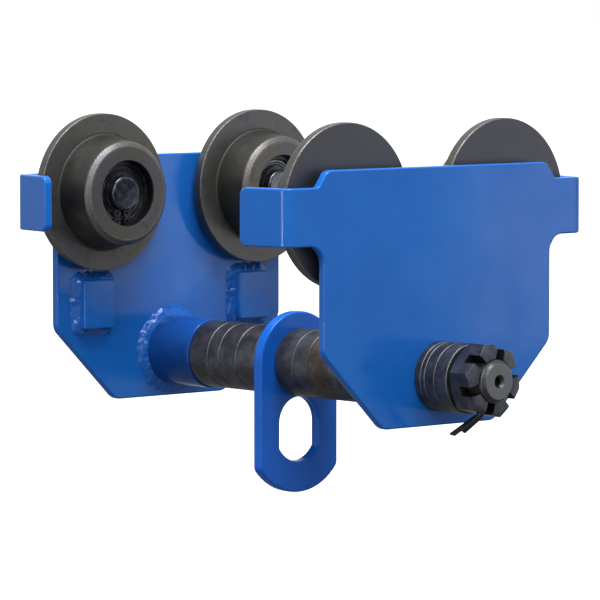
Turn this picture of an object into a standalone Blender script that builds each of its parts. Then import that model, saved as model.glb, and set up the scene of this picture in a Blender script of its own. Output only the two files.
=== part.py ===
# Manual beam trolley: two side plates with bent-in ears, four flanged wheels on
# stub axles, and a load lug hung on a cross shaft between stacks of spacers.
# X runs along the cross shaft, Y along the beam, Z up. The origin is the middle of
# the rolling plane: on top of the beam's flange, where the treads run.

import math

import bmesh
import bpy
from mathutils import Matrix

# Gap left between pieces that touch
FIT = 0.0003

# Side plates, each cut from sheet with an ear folded inwards at both ends
PLATE_THICKNESS = 0.005
PLATE_HEIGHT = 0.1414
PLATE_END_MARGIN = 0.0256
SIDE_EDGE_END = 0.0990
BOTTOM_HALF_LENGTH = 0.0412
TOP_CORNER_INSET = 0.0027
SLOPE_FOOT_OUTSET = 0.0038
TOP_CORNER_RADIUS = 0.006
LOWER_CORNER_RADIUS = 0.009

# Ears that guard the wheels
EAR_DROP = 0.0090
EAR_HEIGHT = 0.0315
EAR_REACH = 0.0335
EAR_FOLD_ANGLE = math.radians(81)
EAR_BEND_RADIUS = 0.008
EAR_TIP_RADIUS = 0.0045
EAR_TOP_FILLET = 0.0025
EAR_LOWER_FILLET = 0.0095
EAR_WHEEL_CLEARANCE = 0.0025

# Wheels: flange, coned tread and a bored hub
AXLE_SPACING = 0.1168
AXLE_DROP = 0.0203
FLANGE_RADIUS = 0.045
FLANGE_WIDTH = 0.0060
FLANGE_STANDOFF = 0.0050
FLANGE_EDGE_BREAK = 0.0009
TREAD_WIDTH = 0.022
TREAD_ROOT_RADIUS = 0.0327
TREAD_END_RADIUS = 0.030
TREAD_END_CHAMFER = 0.0015
HUB_BACK_RADIUS = 0.014

# Wheel bearing, one shielded ball bearing in each wheel
BEARING_OUTER_RADIUS = 0.0185
BEARING_WIDTH = 0.009
BEARING_RECESS = 0.0072
RING_EDGE_BREAK = 0.0006
INNER_RING_WALL = 0.0024
SHIELD_RADIUS = 0.0162
SHIELD_RECESS = 0.0004

# Snap rings that hold the bearing in the wheel and on the axle
WHEEL_RING_THICKNESS = 0.0015
WHEEL_GROOVE_DEPTH = 0.001
WHEEL_RING_BACK = 0.0028
WHEEL_RING_NEAR_GAP = 0.0019
WHEEL_RING_LUG = 0.0047
AXLE_RING_THICKNESS = 0.0012
AXLE_GROOVE_DEPTH = 0.0008
AXLE_RING_BACK = 0.0026
AXLE_RING_NEAR_GAP = 0.0018
AXLE_RING_LUG = 0.0043
RING_GAP_HALF_WIDTH = 0.0016
RING_LUG_WIDTH = 0.0036
RING_LUG_HOLE_RADIUS = 0.0009
RING_LUG_CORNER = 0.0009

# Stub axles, welded to the inner face of the plate
AXLE_RADIUS = 0.010
AXLE_COLLAR_RADIUS = 0.0124
AXLE_END_SETBACK = 0.0015
AXLE_END_RADIUS = 0.0018
AXLE_WELD = 0.003

# Guide blocks, welded under the wheels
BLOCK_LENGTH = 0.022
BLOCK_HEIGHT = 0.028
BLOCK_DEPTH = 0.007
BLOCK_GAP = 0.0057
BLOCK_EDGE_BREAK = 0.001
BLOCK_WELD = 0.0055

# Bosses, welded to the inner faces of the plates round the cross shaft
BOSS_RADIUS = 0.020
BOSS_LENGTH = 0.039
BOSS_EDGE_BREAK = 0.0008
BOSS_WELD = 0.0058
BOSS_WELD_BELLY_OUT = 0.0035
BOSS_WELD_BELLY_UP = 0.0029
BOSS_EDGE_DISTANCE = 0.0270

# Cross shaft
SHAFT_RADIUS = 0.012
SHAFT_OVERHANG = 0.0030
SHAFT_CHAMFER = 0.0018
CENTRE_HOLE_RADIUS = 0.0032
CENTRE_HOLE_DEPTH = 0.006

# Spacers and washers on the shaft, by their widths
SPACER_RADIUS = 0.0192
LEFT_SPACERS = (0.016, 0.0095, 0.015, 0.015, 0.0107)
RIGHT_SPACERS = (0.0152, 0.0117, 0.016, 0.0145, 0.0124)
OUTER_SPACERS = (0.0045, 0.003, 0.0072, 0.0093)
LEFT_WASHER = 0.003

# Load lug
LUG_THICKNESS = 0.007
LUG_ARM = 0.0142
LUG_SLOT_HALF_WIDTH = 0.0145
LUG_SLOT_LENGTH = 0.0366
LUG_SLOT_FOOT_RADIUS = 0.017
LUG_BRIDGE = 0.0073
LUG_FOOT = 0.0177
LUG_FOOT_RADIUS = 0.036
LUG_CORNER_RADIUS = 0.005
LUG_BORE_CLEARANCE = 0.0005
LUG_EDGE_BREAK = 0.0009

# Castle nuts and the split pins that lock them
NUT_ACROSS_FLATS = 0.036
NUT_HEIGHT = 0.0185
NUT_COLLAR_HEIGHT = 0.0014
NUT_COLLAR_RADIUS = 0.0165
NUT_FACE_RADIUS = 0.0172
NUT_CHAMFER_ANGLE = math.radians(30)
NUT_CUT_MARGIN = 0.001
SLOT_WIDTH = 0.0055
SLOT_DEPTH = 0.009
PIN_HOLE_RADIUS = 0.0028
PIN_WIRE_RADIUS = 0.00115
PIN_LEG_GAP = 0.0002
PIN_EYE_RADIUS = 0.0027
PIN_NECK = 0.0009
PIN_BEND_RADIUS = 0.003
PIN_INNER_LEG = 0.0195
PIN_OUTER_LEG = 0.0145
LEFT_PIN_ANGLE = math.radians(16)
LEFT_PIN_BENDS = (math.radians(35), math.radians(30))
RIGHT_PIN_ANGLE = math.radians(76)
RIGHT_PIN_BENDS = (math.radians(58), math.radians(54))

# Facets of the round forms
WHEEL_FACETS = 28
BEARING_FACETS = 20
AXLE_FACETS = 16
SHAFT_FACETS = 20
SPACER_FACETS = 20
NUT_CHAMFER_FACETS = 30
PIN_HOLE_FACETS = 12
RING_HOLE_FACETS = 6
RING_EDGE_STEPS = 9
ARC_STEP = math.radians(15)
RING_ARC_STEP = math.radians(22.5)
AXLE_END_STEP = math.radians(45)
PIN_EYE_STEP = math.radians(30)
PIN_BEND_STEP = math.radians(18)
BEND_STEPS = 4

# Colours and finishes
BLUE_PAINT = (0.021, 0.119, 0.413, 1)
WHEEL_STEEL = (0.085, 0.081, 0.070, 1)
DARK_STEEL = (0.035, 0.035, 0.038, 1)
BRIGHT_STEEL = (0.42, 0.42, 0.43, 1)
BLACK_OXIDE = (0.020, 0.020, 0.022, 1)
PAINT_ROUGHNESS = 0.3
TURNED_ROUGHNESS = 0.42
SMOOTH_ROUGHNESS = 0.3
RING_ROUGHNESS = 0.25
OXIDE_ROUGHNESS = 0.38
STEEL_METALLIC = 0.85

# Heights, from the rolling plane
AXLE_Z = (TREAD_ROOT_RADIUS + TREAD_END_RADIUS) / 2
PLATE_TOP_Z = AXLE_Z + AXLE_DROP
PLATE_BOTTOM_Z = PLATE_TOP_Z - PLATE_HEIGHT
SHAFT_Z = PLATE_BOTTOM_Z + BOSS_EDGE_DISTANCE
BLOCK_Z = AXLE_Z - FLANGE_RADIUS - BLOCK_GAP - BLOCK_HEIGHT / 2

# Distances along the beam
AXLE_Y = AXLE_SPACING / 2
SIDE_EDGE_Y = AXLE_Y + PLATE_END_MARGIN
EAR_Y = AXLE_Y + FLANGE_RADIUS + EAR_WHEEL_CLEARANCE + PLATE_THICKNESS

def stack_length(widths):
    """Length of a stack of pieces with a gap in front of each one."""
    return sum(widths) + FIT * len(widths)


# Distances across the beam: the spacers set the plates apart and place the lug
LEFT_STACK = stack_length(LEFT_SPACERS + (BOSS_LENGTH, 0))
RIGHT_STACK = stack_length(RIGHT_SPACERS + (BOSS_LENGTH, 0))
RIGHT_FACE_X = (LEFT_STACK + LUG_THICKNESS + RIGHT_STACK) / 2
LEFT_FACE_X = -RIGHT_FACE_X
LUG_X = LEFT_FACE_X + LEFT_STACK + LUG_THICKNESS / 2
LEFT_OUTER_X = LEFT_FACE_X - PLATE_THICKNESS
RIGHT_OUTER_X = RIGHT_FACE_X + PLATE_THICKNESS
LEFT_NUT_X = LEFT_OUTER_X - stack_length((LEFT_WASHER, 0))
RIGHT_NUT_X = RIGHT_OUTER_X + stack_length(OUTER_SPACERS + (0,))

# Stations of a wheel set, from the plate's inner face towards the beam's web
FLANGE_BACK = FLANGE_STANDOFF
FLANGE_FRONT = FLANGE_BACK + FLANGE_WIDTH
WHEEL_END = FLANGE_FRONT + TREAD_WIDTH
BEARING_FRONT = WHEEL_END - BEARING_RECESS
BEARING_BACK = BEARING_FRONT - BEARING_WIDTH
AXLE_END = WHEEL_END - AXLE_END_SETBACK

LEFT = -1
RIGHT = 1
FRONT = -1
REAR = 1
SIDE_NAMES = {LEFT: "left", RIGHT: "right"}
END_NAMES = {FRONT: "front", REAR: "rear"}
PIN_ANGLES = {LEFT: LEFT_PIN_ANGLE, RIGHT: RIGHT_PIN_ANGLE}
PIN_BENDS = {LEFT: LEFT_PIN_BENDS, RIGHT: RIGHT_PIN_BENDS}


def new_collection(name):
    collection = bpy.data.collections.new(name)
    bpy.context.scene.collection.children.link(collection)
    return collection


def clear_scene():
    for obj in list(bpy.data.objects):
        bpy.data.objects.remove(obj, do_unlink=True)


clear_scene()
TROLLEY = new_collection("manual_beam_trolley")
CUTTERS = new_collection("cutters")


def paint(obj, colour, roughness, metallic):
    """Gives a piece its own Principled material."""
    material = bpy.data.materials.new(obj.name + "_finish")
    material.use_nodes = True
    shader = material.node_tree.nodes["Principled BSDF"]
    shader.inputs["Base Color"].default_value = colour
    shader.inputs["Roughness"].default_value = roughness
    shader.inputs["Metallic"].default_value = metallic
    obj.data.materials.append(material)


def painted_blue(obj):
    paint(obj, BLUE_PAINT, PAINT_ROUGHNESS, 0)


def new_object(name, data, collection=TROLLEY):
    obj = bpy.data.objects.new(name, data)
    collection.objects.link(obj)
    return obj


def as_cutter(obj):
    obj.hide_render = True
    obj.display_type = "WIRE"


def face_along_x(obj, direction, x, y, z):
    """Turns a piece modelled along its own Z so that it points along X."""
    obj.rotation_euler = (0, direction * math.pi / 2, 0)
    obj.location = (x, y, z)


def turned(name, profile, facets, closed=True, collection=TROLLEY):
    """Turns a profile of (radius, height) points round Z, outer side first, downwards."""
    mesh = bpy.data.meshes.new(name)
    points = [(radius, 0, height) for radius, height in profile]
    edges = [(i, i + 1) for i in range(len(points) - 1)]
    if closed:
        edges.append((len(points) - 1, 0))
    mesh.from_pydata(points, edges, [])
    obj = new_object(name, mesh, collection)
    screw = obj.modifiers.new("Turn", "SCREW")
    screw.axis = "Z"
    screw.angle = math.tau
    screw.steps = facets
    screw.render_steps = facets
    screw.use_merge_vertices = True
    screw.merge_threshold = 0.00001
    return obj


def cut(obj, cutter, operation="DIFFERENCE"):
    boolean = obj.modifiers.new("Cut " + cutter.name, "BOOLEAN")
    boolean.operation = operation
    boolean.object = cutter
    boolean.solver = "EXACT"


def round_cutter(name, radius, length):
    """A cylinder along Z, centred on its origin."""
    mesh = bpy.data.meshes.new(name)
    bm = bmesh.new()
    bmesh.ops.create_cone(
        bm,
        cap_ends=True,
        segments=PIN_HOLE_FACETS,
        radius1=radius,
        radius2=radius,
        depth=length,
    )
    bm.to_mesh(mesh)
    bm.free()
    cutter = new_object(name, mesh, CUTTERS)
    as_cutter(cutter)
    return cutter


def arc(centre, radius, start, end, step=ARC_STEP):
    """Points on an arc, both ends included."""
    count = max(1, math.ceil(abs(end - start) / step - 1e-6))
    angles = [start + (end - start) * i / count for i in range(count + 1)]
    return [
        (centre[0] + radius * math.cos(angle), centre[1] + radius * math.sin(angle))
        for angle in angles
    ]


def rounded(corners):
    """Points along a chain of (a, b, radius) corners, with an arc at each radius."""
    points = [corners[0][:2]]
    for before, corner, after in zip(corners, corners[1:], corners[2:]):
        a, b, radius = corner
        if radius == 0:
            points.append((a, b))
            continue
        into = math.atan2(b - before[1], a - before[0])
        out = math.atan2(after[1] - b, after[0] - a)
        turn = (out - into + math.pi) % math.tau - math.pi
        tangent = radius * math.tan(abs(turn) / 2)
        side = math.copysign(1, turn)
        start = (a - tangent * math.cos(into), b - tangent * math.sin(into))
        centre = (
            start[0] - side * radius * math.sin(into),
            start[1] + side * radius * math.cos(into),
        )
        first = into - side * math.pi / 2
        points += arc(centre, radius, first, first + turn)
    points.append(corners[-1][:2])
    return points


def half_sheet(outline, outward):
    """One face in the YZ plane from a half outline that is open at y = 0."""
    bm = bmesh.new()
    face = bm.faces.new([bm.verts.new((0, y, z)) for y, z in outline])
    face.normal_update()
    if face.normal.x * outward < 0:
        bmesh.ops.reverse_faces(bm, faces=[face])
    return bm


def finish_sheet(name, bm, thickness, offset):
    """Mirrors a half sheet about y = 0 and gives it its thickness."""
    mesh = bpy.data.meshes.new(name)
    bm.to_mesh(mesh)
    bm.free()
    obj = new_object(name, mesh)
    mirror = obj.modifiers.new("Other half", "MIRROR")
    mirror.use_axis = (False, True, False)
    mirror.merge_threshold = 0.00001
    solidify = obj.modifiers.new("Sheet", "SOLIDIFY")
    solidify.thickness = thickness
    solidify.offset = offset
    solidify.use_even_offset = True
    return obj


def break_edges(obj, width):
    bevel = obj.modifiers.new("Broken edges", "BEVEL")
    bevel.width = width
    bevel.segments = 1
    bevel.limit_method = "ANGLE"
    bevel.angle_limit = math.radians(50)


def ear_flat_length():
    """Length of the flat part of an ear, past its bend."""
    bend_reach = EAR_BEND_RADIUS * (1 - math.cos(EAR_FOLD_ANGLE))
    return (EAR_REACH - bend_reach) / math.sin(EAR_FOLD_ANGLE)


def plate_outline():
    """Half of the flat blank of a side plate, its ear still unfolded."""
    ear_top = PLATE_TOP_Z - EAR_DROP
    ear_bottom = ear_top - EAR_HEIGHT
    tip = EAR_Y - EAR_BEND_RADIUS + EAR_BEND_RADIUS * EAR_FOLD_ANGLE + ear_flat_length()
    edge = [
        (0, PLATE_TOP_Z, 0),
        (SIDE_EDGE_Y - TOP_CORNER_INSET, PLATE_TOP_Z, TOP_CORNER_RADIUS),
        (SIDE_EDGE_Y + SLOPE_FOOT_OUTSET, ear_top, EAR_TOP_FILLET),
        (tip, ear_top, EAR_TIP_RADIUS),
        (tip, ear_bottom, EAR_TIP_RADIUS),
        (SIDE_EDGE_Y, ear_bottom, EAR_LOWER_FILLET),
        (SIDE_EDGE_Y, PLATE_TOP_Z - SIDE_EDGE_END, LOWER_CORNER_RADIUS),
        (BOTTOM_HALF_LENGTH, PLATE_BOTTOM_Z, LOWER_CORNER_RADIUS),
        (0, PLATE_BOTTOM_Z, 0),
    ]
    hole = arc((0, SHAFT_Z), SHAFT_RADIUS + FIT, -math.pi / 2, math.pi / 2)
    return rounded(edge) + hole


def fold_ear(bm, outward):
    """Creases the blank at the bend and rolls the ear round it, towards the wheels."""
    bend_y = EAR_Y - EAR_BEND_RADIUS
    bend_length = EAR_BEND_RADIUS * EAR_FOLD_ANGLE
    for i in range(BEND_STEPS + 1):
        crease = bend_y + bend_length * i / BEND_STEPS
        bmesh.ops.bisect_plane(
            bm,
            geom=bm.verts[:] + bm.edges[:] + bm.faces[:],
            plane_co=(0, crease, 0),
            plane_no=(0, 1, 0),
        )
    for vert in bm.verts:
        past = vert.co.y - bend_y
        if past <= 0:
            continue
        angle = min(past, bend_length) / EAR_BEND_RADIUS
        straight = max(0, past - bend_length)
        inward = EAR_BEND_RADIUS * (1 - math.cos(angle)) + straight * math.sin(angle)
        along = EAR_BEND_RADIUS * math.sin(angle) + straight * math.cos(angle)
        vert.co.x = -outward * inward
        vert.co.y = bend_y + along


def side_plate(side):
    name = SIDE_NAMES[side] + "_side_plate"
    bm = half_sheet(plate_outline(), side)
    fold_ear(bm, side)
    plate = finish_sheet(name, bm, PLATE_THICKNESS, -1)
    plate.location.x = LEFT_OUTER_X if side == LEFT else RIGHT_OUTER_X
    painted_blue(plate)


def boss(side):
    """A thick tube with its weld bead at the foot."""
    profile = [
        (BOSS_RADIUS - BOSS_EDGE_BREAK, BOSS_LENGTH),
        (BOSS_RADIUS, BOSS_LENGTH - BOSS_EDGE_BREAK),
        (BOSS_RADIUS, BOSS_WELD),
        (BOSS_RADIUS + BOSS_WELD_BELLY_OUT, BOSS_WELD_BELLY_UP),
        (BOSS_RADIUS + BOSS_WELD, 0),
        (SHAFT_RADIUS + FIT, 0),
        (SHAFT_RADIUS + FIT, BOSS_LENGTH),
    ]
    obj = turned(SIDE_NAMES[side] + "_boss", profile, SPACER_FACETS)
    face = LEFT_FACE_X if side == LEFT else RIGHT_FACE_X
    face_along_x(obj, -side, face - side * FIT, 0, SHAFT_Z)
    painted_blue(obj)


def guide_block(side, end):
    """A block on a wider foot, which is the weld run round its base."""
    name = SIDE_NAMES[side] + "_" + END_NAMES[end] + "_guide_block"
    mesh = bpy.data.meshes.new(name)
    bm = bmesh.new()
    bmesh.ops.create_cube(bm, size=1)
    for vert in bm.verts:
        foot = BLOCK_WELD if vert.co.z < 0 else 0
        vert.co.x *= BLOCK_HEIGHT + 2 * foot
        vert.co.y *= BLOCK_LENGTH + 2 * foot
        vert.co.z = BLOCK_WELD if vert.co.z > 0 else 0
    top = max(bm.faces, key=lambda face: face.calc_center_median().z)
    raised = bmesh.ops.extrude_face_region(bm, geom=[top])["geom"]
    bmesh.ops.delete(bm, geom=[top], context="FACES_ONLY")
    for item in raised:
        if isinstance(item, bmesh.types.BMVert):
            item.co.z = BLOCK_DEPTH
    bm.to_mesh(mesh)
    bm.free()
    obj = new_object(name, mesh)
    break_edges(obj, BLOCK_EDGE_BREAK)
    face = LEFT_FACE_X if side == LEFT else RIGHT_FACE_X
    face_along_x(obj, -side, face - side * FIT, end * AXLE_Y, BLOCK_Z)
    painted_blue(obj)


def axle_profile():
    """A stub with a welded collar, a snap ring groove and a rounded end."""
    groove = AXLE_RADIUS - AXLE_GROOVE_DEPTH
    groove_end = BEARING_FRONT + AXLE_RING_THICKNESS + 2 * FIT
    round_centre = (AXLE_RADIUS - AXLE_END_RADIUS, AXLE_END - AXLE_END_RADIUS)
    end_arc = arc(round_centre, AXLE_END_RADIUS, math.pi / 2, 0, AXLE_END_STEP)
    return [
        (0, AXLE_END),
        *end_arc,
        (AXLE_RADIUS, groove_end),
        (groove, groove_end),
        (groove, BEARING_FRONT),
        (AXLE_RADIUS, BEARING_FRONT),
        (AXLE_RADIUS, BEARING_BACK - FIT),
        (AXLE_COLLAR_RADIUS, BEARING_BACK - FIT),
        (AXLE_COLLAR_RADIUS, AXLE_WELD),
        (AXLE_COLLAR_RADIUS + AXLE_WELD, FIT),
        (0, FIT),
    ]


def wheel_profile():
    """Coned tread and flange outside; bearing seat and snap ring groove inside."""
    bore = BEARING_OUTER_RADIUS
    groove = bore + WHEEL_GROOVE_DEPTH
    groove_end = BEARING_FRONT + WHEEL_RING_THICKNESS + 2 * FIT
    return [
        (TREAD_END_RADIUS - TREAD_END_CHAMFER, WHEEL_END),
        (TREAD_END_RADIUS, WHEEL_END - TREAD_END_CHAMFER),
        (TREAD_ROOT_RADIUS, FLANGE_FRONT),
        (FLANGE_RADIUS, FLANGE_FRONT),
        (FLANGE_RADIUS, FLANGE_BACK + FLANGE_EDGE_BREAK),
        (FLANGE_RADIUS - FLANGE_EDGE_BREAK, FLANGE_BACK),
        (HUB_BACK_RADIUS, FLANGE_BACK),
        (HUB_BACK_RADIUS, BEARING_BACK - FIT),
        (bore, BEARING_BACK - FIT),
        (bore, BEARING_FRONT),
        (groove, BEARING_FRONT),
        (groove, groove_end),
        (bore, groove_end),
        (bore, WHEEL_END),
    ]


def outer_ring_profile():
    """Outer ring with its recessed shield, which hides the balls."""
    seat = BEARING_OUTER_RADIUS - FIT
    lip = AXLE_RADIUS + FIT + INNER_RING_WALL + FIT
    return [
        (seat - RING_EDGE_BREAK, BEARING_FRONT),
        (seat, BEARING_FRONT - RING_EDGE_BREAK),
        (seat, BEARING_BACK),
        (lip, BEARING_BACK),
        (lip, BEARING_FRONT - SHIELD_RECESS),
        (SHIELD_RADIUS, BEARING_FRONT - SHIELD_RECESS),
        (SHIELD_RADIUS, BEARING_FRONT),
    ]


def inner_ring_profile():
    bore = AXLE_RADIUS + FIT
    outside = bore + INNER_RING_WALL
    return [
        (outside, BEARING_FRONT),
        (outside, BEARING_BACK),
        (bore, BEARING_BACK),
        (bore, BEARING_FRONT),
    ]


def snap_ring(name, seat, inward, back, near_gap, lug, thickness):
    """An open ring that narrows towards its gap and ends in two drilled lugs.

    The seat is the edge that sits in the groove. The rest of the ring lies inside
    it when inward is 1, and outside it when inward is -1. The gap is at +X.
    """
    lug_radius = seat - inward * lug / 2
    gap = RING_GAP_HALF_WIDTH / lug_radius
    lug_end = gap + RING_LUG_WIDTH / lug_radius
    seat_edge = arc((0, 0), seat, gap, math.tau - gap, RING_ARC_STEP)
    free_edge = []
    for i in range(RING_EDGE_STEPS + 1):
        angle = math.tau - lug_end - (math.tau - 2 * lug_end) * i / RING_EDGE_STEPS
        from_back = abs(angle - math.pi) / (math.pi - lug_end)
        width = back + (near_gap - back) * from_back
        free_edge.append((angle, seat - inward * width))
    corner = RING_LUG_CORNER / lug_radius
    lug_edge = [
        (lug_end, seat - inward * (lug - RING_LUG_CORNER)),
        (lug_end - corner, seat - inward * lug),
        (gap + corner, seat - inward * lug),
        (gap, seat - inward * (lug - RING_LUG_CORNER)),
    ]
    first_lug = [(-angle, radius) for angle, radius in reversed(lug_edge)]
    polar = first_lug + free_edge + lug_edge
    outline = seat_edge + [
        (radius * math.cos(angle), radius * math.sin(angle)) for angle, radius in polar
    ]
    hole_angle = (gap + lug_end) / 2
    hole_radius = seat - inward * (lug - RING_LUG_WIDTH / 2)
    holes = []
    for turn in (-hole_angle, hole_angle):
        centre = (hole_radius * math.cos(turn), hole_radius * math.sin(turn))
        step = math.tau / RING_HOLE_FACETS
        ring = arc(centre, RING_LUG_HOLE_RADIUS, 0, math.tau, step)
        holes.append(ring[:-1])
    curve = bpy.data.curves.new(name, "CURVE")
    curve.dimensions = "2D"
    curve.fill_mode = "BOTH"
    curve.extrude = thickness / 2
    for points in [outline] + holes:
        spline = curve.splines.new("POLY")
        spline.points.add(len(points) - 1)
        for point, (x, y) in zip(spline.points, points):
            point.co = (x, y, 0, 1)
        spline.use_cyclic_u = True
    return new_object(name, curve)


def place_snap_ring(ring, side, station, thickness, x, y):
    """Seats a snap ring past the bearing, with its gap at the bottom."""
    centre = station + FIT + thickness / 2
    face_along_x(ring, 1, x - side * centre, y, AXLE_Z)
    paint(ring, BLACK_OXIDE, OXIDE_ROUGHNESS, STEEL_METALLIC)


def wheel_set(side, end):
    """One wheel with its axle, bearing and snap rings, all on the axle's line."""
    name = SIDE_NAMES[side] + "_" + END_NAMES[end] + "_"
    x = LEFT_FACE_X if side == LEFT else RIGHT_FACE_X
    y = end * AXLE_Y
    turned_pieces = (
        ("axle", axle_profile(), AXLE_FACETS, False, DARK_STEEL, SMOOTH_ROUGHNESS),
        ("wheel", wheel_profile(), WHEEL_FACETS, True, WHEEL_STEEL, TURNED_ROUGHNESS),
        (
            "bearing_outer_ring",
            outer_ring_profile(),
            BEARING_FACETS,
            True,
            DARK_STEEL,
            SMOOTH_ROUGHNESS,
        ),
        (
            "bearing_inner_ring",
            inner_ring_profile(),
            BEARING_FACETS,
            True,
            BRIGHT_STEEL,
            RING_ROUGHNESS,
        ),
    )
    for piece, profile, facets, closed, colour, roughness in turned_pieces:
        obj = turned(name + piece, profile, facets, closed)
        face_along_x(obj, -side, x, y, AXLE_Z)
        paint(obj, colour, roughness, STEEL_METALLIC)
    wheel_ring = snap_ring(
        name + "wheel_snap_ring",
        BEARING_OUTER_RADIUS + WHEEL_GROOVE_DEPTH - FIT,
        1,
        WHEEL_RING_BACK,
        WHEEL_RING_NEAR_GAP,
        WHEEL_RING_LUG,
        WHEEL_RING_THICKNESS,
    )
    place_snap_ring(wheel_ring, side, BEARING_FRONT, WHEEL_RING_THICKNESS, x, y)
    axle_ring = snap_ring(
        name + "axle_snap_ring",
        AXLE_RADIUS - AXLE_GROOVE_DEPTH + FIT,
        -1,
        AXLE_RING_BACK,
        AXLE_RING_NEAR_GAP,
        AXLE_RING_LUG,
        AXLE_RING_THICKNESS,
    )
    place_snap_ring(axle_ring, side, BEARING_FRONT, AXLE_RING_THICKNESS, x, y)


def spacer(name, width, start, direction):
    """A ring on the shaft that starts at one station and grows along X."""
    bore = SHAFT_RADIUS + FIT
    profile = [(SPACER_RADIUS, width), (SPACER_RADIUS, 0), (bore, 0), (bore, width)]
    obj = turned(name, profile, SPACER_FACETS)
    face_along_x(obj, direction, start, 0, SHAFT_Z)
    paint(obj, DARK_STEEL, TURNED_ROUGHNESS, STEEL_METALLIC)


def spacer_stack(name, widths, start, direction):
    station = start
    for number, width in enumerate(widths, 1):
        station += direction * FIT
        spacer(f"{name}_{number}", width, station, direction)
        station += direction * width


def all_spacers():
    half_lug = LUG_THICKNESS / 2
    spacer_stack("left_spacer", LEFT_SPACERS[::-1], LUG_X - half_lug, LEFT)
    spacer_stack("right_spacer", RIGHT_SPACERS, LUG_X + half_lug, RIGHT)
    spacer_stack("outer_spacer", OUTER_SPACERS, RIGHT_OUTER_X, RIGHT)
    spacer("left_washer", LEFT_WASHER, LEFT_OUTER_X - FIT, LEFT)


def pin_x(side):
    """Where a split pin crosses the shaft: the middle of the nut's slots."""
    nut = LEFT_NUT_X if side == LEFT else RIGHT_NUT_X
    return nut + side * (NUT_HEIGHT - SLOT_DEPTH / 2)


def cross_shaft():
    """A bar with a centre hole in each end and a cross hole for each split pin."""
    left_end = LEFT_NUT_X - NUT_HEIGHT - SHAFT_OVERHANG
    right_end = RIGHT_NUT_X + NUT_HEIGHT + SHAFT_OVERHANG
    profile = [
        (0, right_end - CENTRE_HOLE_DEPTH),
        (CENTRE_HOLE_RADIUS, right_end - CENTRE_HOLE_DEPTH),
        (CENTRE_HOLE_RADIUS, right_end),
        (SHAFT_RADIUS - SHAFT_CHAMFER, right_end),
        (SHAFT_RADIUS, right_end - SHAFT_CHAMFER),
        (SHAFT_RADIUS, left_end + SHAFT_CHAMFER),
        (SHAFT_RADIUS - SHAFT_CHAMFER, left_end),
        (CENTRE_HOLE_RADIUS, left_end),
        (CENTRE_HOLE_RADIUS, left_end + CENTRE_HOLE_DEPTH),
        (0, left_end + CENTRE_HOLE_DEPTH),
    ]
    shaft = turned("cross_shaft", profile, SHAFT_FACETS, closed=False)
    face_along_x(shaft, 1, 0, 0, SHAFT_Z)
    for side in (LEFT, RIGHT):
        name = SIDE_NAMES[side] + "_pin_hole"
        cutter = round_cutter(name, PIN_HOLE_RADIUS, 4 * SHAFT_RADIUS)
        cutter.rotation_euler = (PIN_ANGLES[side] - math.pi / 2, 0, 0)
        cutter.location = (pin_x(side), 0, SHAFT_Z)
        cut(shaft, cutter)
    paint(shaft, DARK_STEEL, SMOOTH_ROUGHNESS, STEEL_METALLIC)


def lug_outline():
    """Half of the lug round its bore and slot, from the shaft's axis."""
    half_width = LUG_SLOT_HALF_WIDTH + LUG_ARM
    bore = SHAFT_RADIUS + LUG_BORE_CLEARANCE
    slot_top = -(bore + LUG_BRIDGE)
    slot_bottom = slot_top - LUG_SLOT_LENGTH
    bottom = slot_bottom - LUG_FOOT
    foot_angle = math.asin(half_width / LUG_FOOT_RADIUS)
    foot_centre = (0, bottom + LUG_FOOT_RADIUS)
    down = -math.pi / 2
    foot = arc(foot_centre, LUG_FOOT_RADIUS, down + foot_angle, down)
    shoulder = arc((0, 0), half_width, math.pi / 2, 0)
    corner_radii = [0] * len(shoulder) + [LUG_CORNER_RADIUS] + [0] * (len(foot) - 1)
    outside = [
        (y, z, radius) for (y, z), radius in zip(shoulder + foot, corner_radii)
    ]
    slot_foot_angle = math.asin(LUG_SLOT_HALF_WIDTH / LUG_SLOT_FOOT_RADIUS)
    slot_foot_centre = (0, slot_bottom + LUG_SLOT_FOOT_RADIUS)
    slot_foot = arc(slot_foot_centre, LUG_SLOT_FOOT_RADIUS, down, down + slot_foot_angle)
    slot_head_centre = (0, slot_top - LUG_SLOT_HALF_WIDTH)
    slot_head = arc(slot_head_centre, LUG_SLOT_HALF_WIDTH, 0, math.pi / 2)
    bore_edge = arc((0, 0), bore, down, -down)
    return rounded(outside) + slot_foot + slot_head + bore_edge


def load_lug():
    bm = half_sheet(lug_outline(), RIGHT)
    lug = finish_sheet("load_lug", bm, LUG_THICKNESS, 0)
    break_edges(lug, LUG_EDGE_BREAK)
    lug.location = (LUG_X, 0, SHAFT_Z)
    painted_blue(lug)


def nut_blank():
    """The turned form that chamfers a hexagon's corners and leaves a collar under it."""
    slope = math.tan(NUT_CHAMFER_ANGLE)
    tip_radius = NUT_FACE_RADIUS - NUT_CUT_MARGIN / slope
    outside = NUT_ACROSS_FLATS / math.sqrt(3) + NUT_CUT_MARGIN
    drop = (outside - NUT_FACE_RADIUS) * slope
    profile = [
        (0, NUT_HEIGHT + NUT_CUT_MARGIN),
        (tip_radius, NUT_HEIGHT + NUT_CUT_MARGIN),
        (outside, NUT_HEIGHT - drop),
        (outside, NUT_COLLAR_HEIGHT + drop),
        (NUT_FACE_RADIUS, NUT_COLLAR_HEIGHT),
        (NUT_COLLAR_RADIUS, NUT_COLLAR_HEIGHT),
        (NUT_COLLAR_RADIUS, -NUT_CUT_MARGIN),
        (0, -NUT_CUT_MARGIN),
    ]
    blank = turned("nut_blank", profile, NUT_CHAMFER_FACETS, closed=False, collection=CUTTERS)
    as_cutter(blank)
    return blank


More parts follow.
